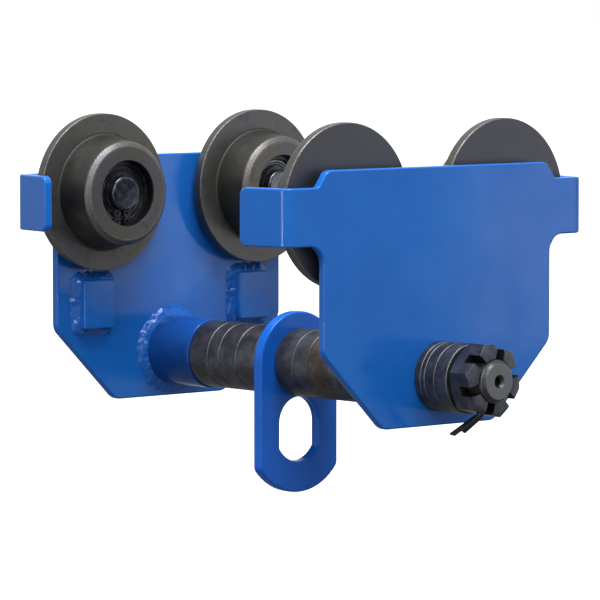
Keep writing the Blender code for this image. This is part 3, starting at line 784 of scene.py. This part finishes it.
def from_axle(wire):
    """How far a point is from its axle's line, and from its plate's inner face."""
    place = wire.node("ShaderNodeTexCoord", output="Object")
    x, y, z = place.split()
    return place, (abs(y) - axle_y).reach(z - axle_z), plate_inner_x - abs(x)


olive_steel, grey_steel = (0.082, 0.079, 0.066, 1), (0.082, 0.081, 0.090, 1)
back_shade_and_reflection, tread_oil = (0.051, 0.053, 0.064, 1), (0.033, 0.032, 0.029, 1)
brown_stain, painted_root_shade = (0.042, 0.033, 0.024, 1), (0.022, 0.020, 0.018, 1)
fresh_cut, bare_steel_and_highlight = (0.13, 0.128, 0.12, 1), (0.24, 0.235, 0.225, 1)
painted_bore_shade = (0.010, 0.011, 0.015, 1)
wheel_steel, shader, wire = recipe("oily_turned_steel", 0.42, 0.8)
place, radius, station = from_axle(wire)
patches = place.noise(55, 4, 0.6)
stain = place.noise(130, 5, 0.65)
turning = (radius - station).noise(2600, 2, 0.7)
scuff = place.noise(760, 4, 0.7).ramp(0.34, 0.62)

colour = patches.ramp(0.38, 0.64).mix(olive_steel, grey_steel)
colour = (stain.ramp(0.50, 0.72) * 0.55).mix(colour, brown_stain)
colour = (turning.ramp(0.45, 0.75) * 0.35).mix(colour, fresh_cut)
on_tread = radius.ramp(0.0285, 0.0300)
on_tread = on_tread * station.ramp(flange_front, flange_front + 0.0015)
colour = (on_tread * 0.8).mix(colour, tread_oil)
# Painted shade: the crease at the tread's root is painted darker.
grime_and_shade = radius.band(tread_root_radius - 0.0012, tread_root_radius + 0.001, 0.0008)
grime_and_shade = grime_and_shade * station.band(flange_front, flange_front + 0.0022, 0.0008)
colour = (grime_and_shade * 0.6).mix(colour, painted_root_shade)
# Painted shade and reflection: the flange's back, which faces the plate, is painted darker
# and bluer.
on_back = station.ramp(flange_back + 0.0007, flange_back + 0.0003)
colour = (on_back * 0.85).mix(colour, back_shade_and_reflection)

# Wear and painted highlight: the rims' edges are painted brighter, partly as wear and
# partly as the light that catches them.
tread_rim = station.band(0.0306, 0.0316, 0.0005)
tread_rim = tread_rim + station.band(0.0326, 0.0334, 0.0003)
tread_rim = tread_rim * radius.band(0.0262, 0.0300, 0.0004)
flange_rim = station.ramp(flange_front - 0.0010, flange_front - 0.0004)
flange_rim = flange_rim + station.ramp(flange_back + 0.0012, flange_back + 0.0006)
flange_rim = flange_rim * radius.ramp(flange_radius - 0.0009, flange_radius - 0.0003)
track = station.band(0.014, 0.029, 0.004) * radius.band(0.029, 0.0335, 0.0003)
wear_and_rim_highlight = tread_rim * scuff * 0.30 + flange_rim * scuff * 0.40
wear_and_rim_highlight = wear_and_rim_highlight + track * place.noise(90, 3).ramp(0.45, 0.7) * 0.08
colour = wear_and_rim_highlight.mix(colour, bare_steel_and_highlight)
# Painted shade: the bore in front of the bearing is painted near-black.
in_bore = radius.ramp(bearing_radius + 0.0006, bearing_radius + 0.0002)
in_bore = in_bore * station.ramp(bearing_front - 0.001, bearing_front)
feed(shader, "Base Color", in_bore.mix(colour, painted_bore_shade))
feed(shader, "Roughness", patches * 0.16 + turning * 0.12 + grime_and_shade * 0.2 + 0.30)
feed_bump(shader, turning * 0.5 + stain * 0.9 + scuff * 0.15, 0.00003)


def on_axle(name, profile, outward, along, steps, closed=True):
    """Turns a profile round the axle's line, from the plate's inner face onwards."""
    face_x, y = outward * plate_inner_x, along * axle_y
    return turned_mesh(name, profile, face_x, -outward, y, axle_z, closed, steps)


for end, outward, along in ends:
    name, body = end + "_trolley_wheel", end + "_wheel_body"
    mesh = on_axle(name, wheel_profile, outward, along, wheel_steps)
    fit(name, mesh, wheel_steel, body, "wheel_steel", end + "_wheel")


# Wheel bearings. A shielded ball bearing in each wheel: the outer ring and its pressed
# shields turn with the wheel, and the inner ring sits on the axle. Black with grease.
axle_radius = 0.010
inner_ring_wall = 0.0024
inner_ring_radius = axle_radius + fit_gap + inner_ring_wall
shield_radius = 0.0162
race_steps = 72
outer_ring_profile = rounded(
    [
        (bearing_front, bearing_radius - 0.0001, 0.0006),
        (bearing_back, bearing_radius - 0.0001, 0.0004),
        (bearing_back, inner_ring_radius + fit_gap, 0),
        (bearing_front - 0.0006, inner_ring_radius + fit_gap, 0.0002),
        (bearing_front - 0.0006, inner_ring_radius + 0.0012, 0.0003),
        (bearing_front - 0.0002, inner_ring_radius + 0.0016, 0.0003),
        (bearing_front - 0.0002, shield_radius - 0.0004, 0.0002),
        (bearing_front - 0.0008, shield_radius - 0.0002, 0.0001),
        (bearing_front - 0.0008, shield_radius, 0.0001),
        (bearing_front, shield_radius + 0.0001, 0.0002),
    ],
    closed=True,
    step=math.radians(22.5),
)
inner_ring_profile = rounded(
    [
        (bearing_front, inner_ring_radius, 0.0003),
        (bearing_back, inner_ring_radius, 0.0003),
        (bearing_back, axle_radius + 0.0001, 0),
        (bearing_front, axle_radius + 0.0001, 0.0004),
    ],
    closed=True,
    step=math.radians(22.5),
)
bearing_steel, shader, wire = recipe("greasy_bearing_steel", 0.25, 0.55, coat=0.4)
place, radius, station = from_axle(wire)
grease = place.noise(240, 3, 0.6)
turning = radius.noise(1800, 1)
colour = (turning.ramp(0.4, 0.7) * 0.6).mix(
    (0.016, 0.018, 0.024, 1), (0.060, 0.062, 0.070, 1)
)
feed(shader, "Base Color", colour)
feed(shader, "Roughness", grease.ramp(0.35, 0.7) * 0.25 + 0.18)
feed_bump(shader, turning * 0.4 + grease * 1.2, 0.00005)
for end, outward, along in ends:
    for ring, profile, body in (
        ("outer", outer_ring_profile, end + "_wheel_body"),
        ("inner", inner_ring_profile, "frame"),
    ):
        name, node = f"{end}_{ring}_race", f"{end}_bearing_{ring}_ring"
        mesh = on_axle(name, profile, outward, along, race_steps)
        fit(name, mesh, bearing_steel, body, "bearing_steel", node)


# Snap rings. Spring steel rings with two drilled ears for the pliers: a large one in
# the wheel's groove, in front of the bearing, and a small one in the axle's groove.
ring_gap_half_width = 0.0016
ring_ear_width = 0.0036
ring_ear_hole_radius = 0.0009
ring_edge_radius = 0.00018


def merged(mesh, gap, angle):
    """Merges a mesh's doubles, and its faces that lie within an angle of each other."""
    bm = bmesh.new()
    bm.from_mesh(mesh)
    bmesh.ops.remove_doubles(bm, verts=bm.verts, dist=gap)
    bmesh.ops.dissolve_limit(
        bm, angle_limit=math.radians(angle), verts=bm.verts, edges=bm.edges
    )
    bm.to_mesh(mesh)
    bm.free()
    mesh.shade_smooth()
    return mesh


def snap_ring_mesh(name, seat, inward, back, near_gap, ear, thickness):
    """An open ring in the YZ plane that narrows towards its gap, at the bottom.

    The seat is the edge that sits in the groove. The rest of the ring lies inside
    it when inward is 1, and outside it when inward is -1.
    """
    ear_radius = seat - inward * ear / 2
    gap = ring_gap_half_width / ear_radius
    ear_end = gap + ring_ear_width / ear_radius
    seat_edge = arc((0, 0), seat, gap, math.tau - gap)
    free_edge = []
    free_steps = 40
    for i in range(free_steps + 1):
        angle = math.tau - ear_end - (math.tau - 2 * ear_end) * i / free_steps
        from_back = abs(angle - math.pi) / (math.pi - ear_end)
        width = back + (near_gap - back) * from_back
        free_edge.append((angle, seat - inward * width))
    corner = ring_ear_width / 4
    turn = corner / ear_radius
    ear_edge = [
        (ear_end, ear - corner),
        (ear_end - turn * 0.3, ear - corner * 0.3),
        (ear_end - turn, ear),
        (gap + turn, ear),
        (gap + turn * 0.3, ear - corner * 0.3),
        (gap, ear - corner),
    ]
    first_ear = [(-angle, seat - inward * depth) for angle, depth in reversed(ear_edge)]
    last_ear = [(angle, seat - inward * depth) for angle, depth in ear_edge]
    outline = seat_edge + [
        (radius * math.cos(angle), radius * math.sin(angle))
        for angle, radius in first_ear + free_edge + last_ear
    ]
    hole_radius = seat - inward * (ear - ring_ear_width / 2)
    loops = [outline]
    for angle in (-(gap + ear_end) / 2, (gap + ear_end) / 2):
        centre = (hole_radius * math.cos(angle), hole_radius * math.sin(angle))
        step = math.radians(24)
        loops.append(arc(centre, ring_ear_hole_radius, 0, math.tau, step)[:-1])
    curve = closed_curve(name, "2D", *loops)
    curve.fill_mode = "BOTH"
    curve.extrude = thickness / 2
    flat = evaluated_mesh(new_object(name, curve), name)
    obj = new_object(name, merged(flat, 1e-6, 1))
    add_bevel(obj, ring_edge_radius, segments=2, angle=60)
    mesh = shaded(obj, name)
    mesh.transform(Matrix.Rotation(math.pi / 2, 4, "Y"))
    return mesh


snap_steel, shader, wire = recipe("black_spring_steel", 0.3, 0.6)
place = wire.node("ShaderNodeTexCoord", output="Object")
grime_and_shade = place.noise(300, 3, 0.6)
colour = grime_and_shade.ramp(0.4, 0.7).mix((0.014, 0.015, 0.018, 1), (0.045, 0.046, 0.05, 1))
feed(shader, "Base Color", colour)
feed(shader, "Roughness", grime_and_shade * 0.25 + 0.2)
feed_bump(shader, grime_and_shade, 0.00004)
snap_rings = (
    ("wheel", 0.0192, 1, 0.0028, 0.0019, 0.0047, 0.0015),
    ("axle", 0.0095, -1, 0.0026, 0.0018, 0.0043, 0.0012),
)
for end, outward, along in ends:
    for ring, seat, inward, back, near_gap, ear, thickness in snap_rings:
        name, node = f"{end}_{ring}_circlip", f"{end}_{ring}_snap_ring"
        mesh = snap_ring_mesh(name, seat, inward, back, near_gap, ear, thickness)
        x = outward * (plate_inner_x - bearing_front - fit_gap - thickness / 2)
        mesh.transform(Matrix.Translation((x, along * axle_y, axle_z)))
        body = end + "_wheel_body" if ring == "wheel" else "frame"
        fit(name, mesh, snap_steel, body, "black_oxide", node)


# Stub axles. Turned and blackened, with a rounded end and a collar that is welded to
# the plate. They don't turn: the wheels turn on them.
axle_end = 0.0315
axle_end_radius = 0.0018
collar_radius = 0.0124
axle_groove_depth = 0.0008
axle_groove_width = 0.0018
axle_weld_leg = 0.0028
axle_profile = rounded(
    [
        (axle_end, 0, 0),
        (axle_end, axle_radius, axle_end_radius),
        (bearing_front + axle_groove_width, axle_radius, 0.0001),
        (bearing_front + axle_groove_width, axle_radius - axle_groove_depth, 0),
        (bearing_front, axle_radius - axle_groove_depth, 0),
        (bearing_front, axle_radius, 0),
        (bearing_seat, axle_radius, 0),
        (bearing_seat, collar_radius, 0.0005),
        (0, collar_radius, 0),
        (0, 0, 0),
    ],
    step=math.radians(11.25),
)
axle_steel, shader, wire = recipe("blackened_axle_steel", 0.3, 0.7, coat=0.5)
place, radius, station = from_axle(wire)
mottle = place.noise(260, 4, 0.65)
turning = radius.noise(1500, 2)
colour = mottle.ramp(0.4, 0.72).mix((0.016, 0.019, 0.030, 1), (0.048, 0.054, 0.078, 1))
feed(shader, "Base Color", colour)
feed(shader, "Roughness", mottle * 0.2 + 0.12)
feed_bump(shader, mottle * 1.2 + turning * 0.3, 0.00004)
for end, outward, along in ends:
    name = end + "_stub_axle"
    mesh = on_axle(name, axle_profile, outward, along, race_steps, closed=False)
    fit(name, mesh, axle_steel, "frame", "axle_steel", end + "_axle")
collar_foot = arc((0, 0), collar_radius - 0.0003, 0, math.tau)[:-1]
for number, (end, outward, along) in enumerate(ends):
    seed, y = 5.0 + number * 0.53, along * axle_y
    weld(end + "_axle_weld", collar_foot, axle_weld_leg, seed, outward, y, axle_z)


# Cross shaft. A 24 mm bar that carries the whole load, with a screw thread and a
# countersunk centre hole at each end. Dark steel, lighter on its machined end faces,
# with painted highlights along the thread crests.
thread_pitch = 0.002
thread_depth = 0.0011
thread_length = 0.026
shaft_chamfer = 0.0022
centre_hole_radius = 0.0024
centre_hole_depth = 0.0058
countersink_radius = 0.0038
countersink_depth = 0.0016
half_shaft = (shaft_high.x - shaft_low.x) / 2
shaft_middle_x = (shaft_high.x + shaft_low.x) / 2
root_radius = shaft_radius - thread_depth
shaft_profile = rounded(
    [
        (half_shaft - centre_hole_depth - 0.0017, 0, 0),
        (half_shaft - centre_hole_depth, centre_hole_radius, 0.0002),
        (half_shaft - countersink_depth, centre_hole_radius, 0.0002),
        (half_shaft, countersink_radius, 0.0002),
        (half_shaft, root_radius - 0.0012, 0.0004),
        (half_shaft - 0.0014, root_radius, 0.0002),
        (half_shaft - thread_length, root_radius, 0.0004),
        (half_shaft - thread_length - 0.001, shaft_radius, 0.0004),
        (0, shaft_radius, 0),
    ],
    step=math.radians(15),
)
shaft_profile += [(-along, radius) for along, radius in reversed(shaft_profile[:-1])]

threads = Grower(
    "screw_thread", "Length", "Pitch", "Root Radius", "Depth", "Chamfer"
)
length, pitch, root, depth, chamfer = threads.given_sizes()
turns = length / pitch
helix = turns.node(
    "GeometryNodeCurveSpiral",
    sockets={
        "Resolution": 64,
        "Rotations": turns,
        "Start Radius": root,
        "End Radius": root,
        "Height": length,
    },
)
tooth = helix.node(
    "GeometryNodeCurvePrimitiveQuadrilateral",
    {"mode": "TRAPEZOID"},
    {
        "Height": depth * 2.0,
        "Bottom Width": pitch * 1.75,
        "Top Width": pitch * 0.16,
        "Offset": 0.0,
    },
)
tooth = tooth.node(
    "GeometryNodeTransform",
    sockets={"Geometry": tooth, "Rotation": (0, 0, -math.pi / 2)},
)
coil = helix.node(
    "GeometryNodeCurveToMesh",
    sockets={"Curve": helix, "Profile Curve": tooth, "Fill Caps": True},
)
x, y, z = coil.node("GeometryNodeInputPosition").split()
reach = x.reach(y)
slope = z - (length - chamfer)
allowed = root + depth - slope.calc("MAXIMUM", slope, 0.0)
shrink = allowed / reach
shrink = shrink.calc("MINIMUM", shrink, 1.0)
inside = z.calc("MINIMUM", z.calc("MAXIMUM", z, 0.0), length)
trimmed = z.vector(x * shrink, y * shrink, inside)
coil = coil.node(
    "GeometryNodeSetPosition", sockets={"Geometry": coil, "Position": trimmed}
)
threads.finish(coil)


def from_shaft(wire):
    """A point's place, its own X, and how far it is from the shaft's line."""
    place = wire.node("ShaderNodeTexCoord", output="Object")
    x, y, z = place.split()
    return place, x, y.reach(z - shaft_z)


shaft_steel, shader, wire = recipe("dark_shaft_steel", 0.4, 0.75)
place, x, radius = from_shaft(wire)
turning = radius.noise(1500, 2, 0.6)
mottle = place.noise(220, 4, 0.6)
end_face = abs(x - shaft_middle_x).ramp(half_shaft - 0.0004, half_shaft - 0.0001)
# Painted highlight: the thread crests are painted lighter; the machined end face is
# lighter steel.
crest = radius.ramp(shaft_radius - 0.0010, shaft_radius - 0.0003)
machined_face_and_crest_highlight = end_face * (turning * 0.5 + 0.35) + (1 - end_face) * crest * 0.7
colour = mottle.mix((0.028, 0.029, 0.032, 1), (0.065, 0.066, 0.07, 1))
feed(shader, "Base Color", machined_face_and_crest_highlight.mix(colour, (0.13, 0.135, 0.14, 1)))
feed(shader, "Roughness", mottle * 0.2 + 0.28)
feed_bump(shader, turning * 0.7 + mottle * 0.6, 0.00004)
mesh = turned_mesh("shaft_bar", shaft_profile, shaft_middle_x, 1, 0, shaft_z, False)
fit("shaft_bar", mesh, shaft_steel, "frame", "shaft_steel", "cross_shaft")
for side, outward in sides:
    name = side + "_shaft_thread"
    sizes = {
        "Length": thread_length - 0.0002,
        "Pitch": thread_pitch,
        "Root Radius": root_radius,
        "Depth": thread_depth,
        "Chamfer": shaft_chamfer,
        "Material": shaft_steel,
    }
    mesh = threads.grow(name, sizes)
    start = shaft_middle_x + outward * (half_shaft - thread_length)
    stand = Matrix.Rotation(outward * math.pi / 2, 4, "Y")
    mesh.transform(Matrix.Translation((start, 0, shaft_z)) @ stand)
    turned_out(mesh)
    mesh.set_sharp_from_angle(angle=math.radians(25))
    fit(name, mesh, shaft_steel, "frame", "shaft_steel")


# Spacers and washers. Rings of dark steel tube parted off to several widths, threaded
# on the shaft: moving some outside a plate sets the trolley for a narrower beam.
spacer_radius = 0.0192
spacer_edge_radius = 0.0006
rings = Grower("spacer_ring", "Bore Radius", "Outer Radius", "Width", "Edge Radius")
bore, outer, width, edge = rings.given_sizes()
section = width.node(
    "GeometryNodeCurvePrimitiveQuadrilateral",
    {"mode": "RECTANGLE"},
    {"Width": outer - bore, "Height": width},
)
section = section.node(
    "GeometryNodeFilletCurve",
    {"mode": "POLY"},
    {"Curve": section, "Count": 4, "Radius": edge},
)
loop = section.node(
    "GeometryNodeCurvePrimitiveCircle",
    sockets={"Resolution": shaft_steps, "Radius": (outer + bore) * 0.5},
)
rings.finish(
    loop.node(
        "GeometryNodeCurveToMesh", sockets={"Curve": loop, "Profile Curve": section}
    )
)


def spacer_material(name, dark, light, edge, roughness, rough_cast):
    """Dark tube with faint turning marks and dust, with painted highlights along the
    ring's edges, brightest on top.
    """
    material, shader, wire = recipe(name, roughness, 0.72)
    place, x, radius = from_shaft(wire)
    marks = (x + radius).noise(1400, 2, 0.6)
    mottle = place.noise(110, 5, 0.65)
    dust = place.noise(380, 4, 0.7)
    colour = mottle.ramp(0.35, 0.68).mix(dark, light)
    colour = (dust.ramp(0.58, 0.78) * 0.25).mix(colour, edge)
    # Painted highlight: the ring's edges are painted lighter, most on top, where the light
    # falls.
    rim = radius.band(spacer_radius - 0.0007, spacer_radius - 0.00026, 0.0001)
    lit_from_above = (place.split()[2] - shaft_z).ramp(-0.010, 0.010) * 0.6 + 0.1
    colour = (rim * lit_from_above * dust.ramp(0.25, 0.5)).mix(colour, edge)
    feed(shader, "Base Color", colour)
    feed(shader, "Roughness", mottle * 0.22 + dust * 0.1 + (roughness - 0.15))
    feed_bump(shader, marks * 0.4 + mottle * 0.6 + dust * rough_cast, 0.00006)
    return material


spacer_steel = spacer_material(
    "dark_spacer_steel",
    (0.036, 0.036, 0.041, 1),
    (0.075, 0.078, 0.090, 1),
    (0.30, 0.30, 0.31, 1),
    0.42,
    0.4,
)
brown_steel = spacer_material(
    "brown_spacer_steel",
    (0.040, 0.031, 0.025, 1),
    (0.090, 0.072, 0.060, 1),
    (0.22, 0.18, 0.15, 1),
    0.55,
    2.6,
)
brown_spacer = "right_spacer_3"
stacks = [f"{side}_spacer_{number}" for side, _ in sides for number in range(1, 6)]
stacks += [f"outer_spacer_{number}" for number in range(1, 5)] + ["left_washer"]
for node in stacks:
    low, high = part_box(node)
    name, width = node + "_ring", high.x - low.x
    material = brown_steel if node == brown_spacer else spacer_steel
    sizes = {
        "Bore Radius": shaft_radius + fit_gap,
        "Outer Radius": spacer_radius,
        "Width": width,
        "Edge Radius": min(spacer_edge_radius, width / 5),
        "Material": material,
    }
    mesh = rings.grow(name, sizes)
    stand = Matrix.Rotation(math.pi / 2, 4, "Y")
    mesh.transform(Matrix.Translation(((low.x + high.x) / 2, 0, shaft_z)) @ stand)
    turned_out(mesh)
    mesh = shaded(new_object(name, mesh), name)
    fit(name, mesh, material, "frame", "spacer_steel", node)


# Load lug. A slotted link cut from 7 mm plate that swings on the shaft between the
# spacers, with its edges ground round before it was enamelled.
lug_thickness = 0.007
lug_half_width = 0.0287
slot_half_width = 0.0145
slot_top = -0.0198
slot_bottom = -0.0564
slot_foot_radius = 0.017
lug_bottom = -0.0741
lug_foot_radius = 0.036
lug_bore_radius = 0.0125
lug_corner_radius = 0.005
lug_edge_radius = 0.0013


def lug_outline():
    """Half of the lug round its bore and slot, from the shaft's axis."""
    down = -math.pi / 2
    foot_angle = math.asin(lug_half_width / lug_foot_radius)
    foot_centre = (0, lug_bottom + lug_foot_radius)
    foot = arc(foot_centre, lug_foot_radius, down + foot_angle, down)
    shoulder = arc((0, 0), lug_half_width, math.pi / 2, 0)
    corner_radii = [0] * len(shoulder) + [lug_corner_radius] + [0] * (len(foot) - 1)
    outside = [(*point, radius) for point, radius in zip(shoulder + foot, corner_radii)]
    slot_foot_angle = math.asin(slot_half_width / slot_foot_radius)
    slot_foot = arc(
        (0, slot_bottom + slot_foot_radius),
        slot_foot_radius,
        down,
        down + slot_foot_angle,
    )
    slot_head = arc((0, slot_top - slot_half_width), slot_half_width, 0, -down)
    bore_edge = arc((0, 0), lug_bore_radius, down, -down)
    return rounded(outside) + slot_foot + slot_head + bore_edge


# Painted light: the lug's enamel is a lighter blue than the plates', for the light that
# the spacers and the near plate keep off it.
brightened_lug_enamel = enamel(
    "brightened_blue_lug_enamel", (0.009, 0.116, 0.52, 1), (0.008, 0.100, 0.47, 1), 0.20, 0.14
)
lug_blank = half_sheet(lug_outline(), 1)
lug = sheet_object("hanging_lug", lug_blank, lug_thickness, 0, lug_edge_radius)
lug_mesh = shaded(lug, "hanging_lug")
lug_low, lug_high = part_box("load_lug")
lug_mesh.transform(Matrix.Translation(((lug_low.x + lug_high.x) / 2, 0, shaft_z)))
fit("hanging_lug", lug_mesh, brightened_lug_enamel, "lug", "blue_paint", "load_lug")


# Castle nuts. Hexagon nuts milled with six slots, chamfered at both faces and
# blackened. Each is locked by a split pin through a slot and the shaft.
nut_across_flats = 0.036
nut_height = 0.0185
nut_collar_height = 0.0014
nut_collar_radius = 0.0165
nut_face_radius = 0.0166
nut_chamfer = math.radians(30)
nut_slot_width = 0.0055
nut_slot_depth = 0.009
nut_edge_radius = 0.00042
pin_angles = {"left": math.radians(16), "right": math.radians(76)}


def nut_tool(name, profile):
    """A turned cutter along Z for the nut."""
    mesh = turned_mesh(name, profile, 0, 1, 0, 0, closed=False, steps=120)
    mesh.transform(Matrix.Rotation(-math.pi / 2, 4, "Y"))
    return new_object(name, mesh)


def cut(obj, cutter, operation="DIFFERENCE"):
    boolean = obj.modifiers.new("Cut", "BOOLEAN")
    boolean.operation = operation
    boolean.object = cutter
    boolean.solver = "EXACT"


def castle_nut_mesh():
    """A castle nut along Z with a slot in the middle of each flat, one slot at +X."""
    bm = bmesh.new()
    bmesh.ops.create_cone(
        bm,
        cap_ends=True,
        segments=6,
        radius1=nut_across_flats / math.sqrt(3),
        radius2=nut_across_flats / math.sqrt(3),
        depth=nut_height,
    )
    bmesh.ops.translate(bm, verts=bm.verts, vec=(0, 0, nut_height / 2))
    nut = new_object("nut_blank", mesh_from(bm, "nut_blank"))
    past = 0.002
    outside = 0.022
    tip = nut_face_radius - past / math.tan(nut_chamfer)
    drop = (outside - nut_face_radius) * math.tan(nut_chamfer)
    cone = nut_tool(
        "nut_cone",
        [
            (nut_height + past, 0),
            (nut_height + past, tip),
            (nut_height - drop, outside),
            (nut_collar_height + drop, outside),
            (nut_collar_height, nut_face_radius),
            (nut_collar_height, nut_collar_radius),
            (-past, nut_collar_radius),
            (-past, 0),
        ],
    )
    bore = nut_tool(
        "nut_bore",
        [
            (2 * nut_height, 0),
            (2 * nut_height, shaft_radius + fit_gap),
            (-nut_height, shaft_radius + fit_gap),
            (-nut_height, 0),
        ],
    )
    tools = [cone, bore]
    cut(nut, cone, "INTERSECT")
    cut(nut, bore)
    for number in range(3):
        size = (0.08, nut_slot_width, 2 * nut_slot_depth)
        slot_mesh = box_mesh("nut_slot", size, (0, 0, nut_height))
        slot_mesh.transform(Matrix.Rotation(number * math.pi / 3, 4, "Z"))
        tools.append(new_object("nut_slot", slot_mesh))
        cut(nut, tools[-1])
    mesh = evaluated_mesh(nut, "castle_nut")
    for tool in tools:
        bpy.data.objects.remove(tool)
    obj = new_object("castle_nut", merged(mesh, 2e-6, 0.5))
    add_bevel(obj, nut_edge_radius, segments=2, angle=34)
    return shaded(obj, "castle_nut")


nut_black, shader, wire = recipe("black_oxide_steel", 0.42, 0.72)
place = wire.node("ShaderNodeTexCoord", output="Object")
mottle = place.noise(170, 5, 0.65)
grain = place.noise(900, 2, 0.6)
colour = mottle.ramp(0.36, 0.7).mix((0.034, 0.037, 0.047, 1), (0.066, 0.070, 0.085, 1))
colour = (grain.ramp(0.62, 0.8) * 0.5).mix(colour, (0.16, 0.16, 0.17, 1))
x, y, z = place.split()
crowns = [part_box("left_castle_nut")[0].x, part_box("right_castle_nut")[1].x]
from_middle = abs(x - sum(crowns) / 2)
# Painted shade: the insides of the slots are painted near-black.
slots = 0.0
for number in range(3):
    angle = pin_angles["right"] + number * math.pi / 3
    beside = abs(y * math.sin(angle) - (z - shaft_z) * math.cos(angle))
    slots = slots + beside.ramp(nut_slot_width / 2 + 0.0002, nut_slot_width / 2)
crown_depth = (crowns[1] - crowns[0]) / 2 - from_middle
in_slot = slots * crown_depth.ramp(nut_slot_depth + 0.0003, nut_slot_depth)
feed(shader, "Base Color", in_slot.mix(colour, (0.006, 0.006, 0.008, 1)))
feed(shader, "Roughness", mottle * 0.25 + in_slot * 0.2 + 0.26)
feed_bump(shader, mottle * 0.8 + grain * 0.35, 0.00006)
nut_pattern = castle_nut_mesh()
for side, outward in sides:
    low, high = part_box(side + "_castle_nut")
    base_x = low.x if side == "right" else high.x
    name, mesh = side + "_crown_nut", nut_pattern.copy()
    mesh.name = name
    turn = Matrix.Rotation(math.pi / 2 + outward * pin_angles[side], 4, "Z")
    stand = Matrix.Rotation(outward * math.pi / 2, 4, "Y")
    mesh.transform(Matrix.Translation((base_x, 0, shaft_z)) @ stand @ turn)
    fit(name, mesh, nut_black, "frame", "black_oxide", side + "_castle_nut")


# Split pins. A half-round wire bent back on itself: its eye sits in a slot of the nut,
# and its two legs pass through the shaft and are bent over towards the plate.
pin_wire_radius = 0.0019
pin_eye_radius = 0.0027
pin_leg_x = 0.0001
pin_bend_radius = 0.003
pin_leg_lengths = (0.0210, 0.0130)
pin_edge_radius = 0.00025
pin_bends = {
    "left": (math.radians(35), math.radians(30)),
    "right": (math.radians(56), math.radians(50)),
}


def pin_path(side):
    """The wire's flat face from one tip, round the eye, to the other tip."""
    neck_z = shaft_radius + 0.0016
    opening = math.radians(24)
    eye_z = neck_z + pin_eye_radius * math.cos(opening)
    down = -math.pi / 2
    inside = pin_eye_radius - pin_wire_radius * 0.55
    eye = arc((0, eye_z), inside, down - opening, down + opening - math.tau)
    bend_z = -(nut_across_flats / 2 - 0.0006)

    def leg(start_x, bend, length):
        centre_x = -pin_leg_x - pin_bend_radius
        step = math.radians(9)
        points = arc((centre_x, bend_z), start_x - centre_x, 0, -bend, step)
        end_x, end_z = points[-1]
        steps = 6
        return points + [
            (
                end_x - length * i / steps * math.sin(bend),
                end_z - length * i / steps * math.cos(bend),
            )
            for i in range(1, steps + 1)
        ]

    inner = leg(-pin_leg_x, pin_bends[side][0], pin_leg_lengths[0])
    outer = leg(pin_leg_x, pin_bends[side][1], pin_leg_lengths[1])
    return [Vector((x, 0, z)) for x, z in inner[::-1] + eye + outer]


def half_round_sweep(name, path):
    """Sweeps a half-round section, flat side in, along the pin's path."""
    section_steps = 12
    bm = bmesh.new()
    loops = []
    for i, point in enumerate(path):
        before, after = path[max(i - 1, 0)], path[min(i + 1, len(path) - 1)]
        ahead = (after - before).normalized()
        out = Vector((-ahead.z, 0, ahead.x))
        ring = []
        for j in range(section_steps + 1):
            angle = math.pi * j / section_steps
            ring.append(
                bm.verts.new(
                    point
                    + out * pin_wire_radius * math.sin(angle)
                    + Vector((0, pin_wire_radius * math.cos(angle), 0))
                )
            )
        loops.append(ring)
    for first, second in zip(loops, loops[1:]):
        for j in range(section_steps + 1):
            k = (j + 1) % (section_steps + 1)
            bm.faces.new((first[j], first[k], second[k], second[j]))
    bm.faces.new(loops[0])
    bm.faces.new(loops[-1][::-1])
    bmesh.ops.recalc_face_normals(bm, faces=bm.faces)
    obj = new_object(name, mesh_from(bm, name))
    add_bevel(obj, pin_edge_radius, segments=2, angle=50)
    return shaded(obj, name)


pin_steel, shader, wire = recipe("black_pin_steel", 0.42, 0.5)
place = wire.node("ShaderNodeTexCoord", output="Object")
grime_and_shade = place.noise(350, 4, 0.65)
colour = grime_and_shade.ramp(0.45, 0.75).mix((0.010, 0.010, 0.012, 1), (0.035, 0.035, 0.038, 1))
feed(shader, "Base Color", colour)
feed(shader, "Roughness", grime_and_shade * 0.3 + 0.25)
feed_bump(shader, grime_and_shade, 0.00005)
for side, outward in sides:
    low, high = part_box(side + "_castle_nut")
    crown_x = high.x if side == "right" else low.x
    name = side + "_cotter"
    mesh = half_round_sweep(name, pin_path(side))
    if outward < 0:
        mesh.transform(Matrix.Scale(-1, 4, (1, 0, 0)))
        mesh.flip_normals()
    tilt = Matrix.Rotation(pin_angles[side] - math.pi / 2, 4, "X")
    place_x = crown_x - outward * (nut_slot_depth - pin_wire_radius - 0.0002)
    mesh.transform(Matrix.Translation((place_x, 0, shaft_z)) @ tilt)
    fit(name, mesh, pin_steel, "frame", "black_oxide", side + "_split_pin")
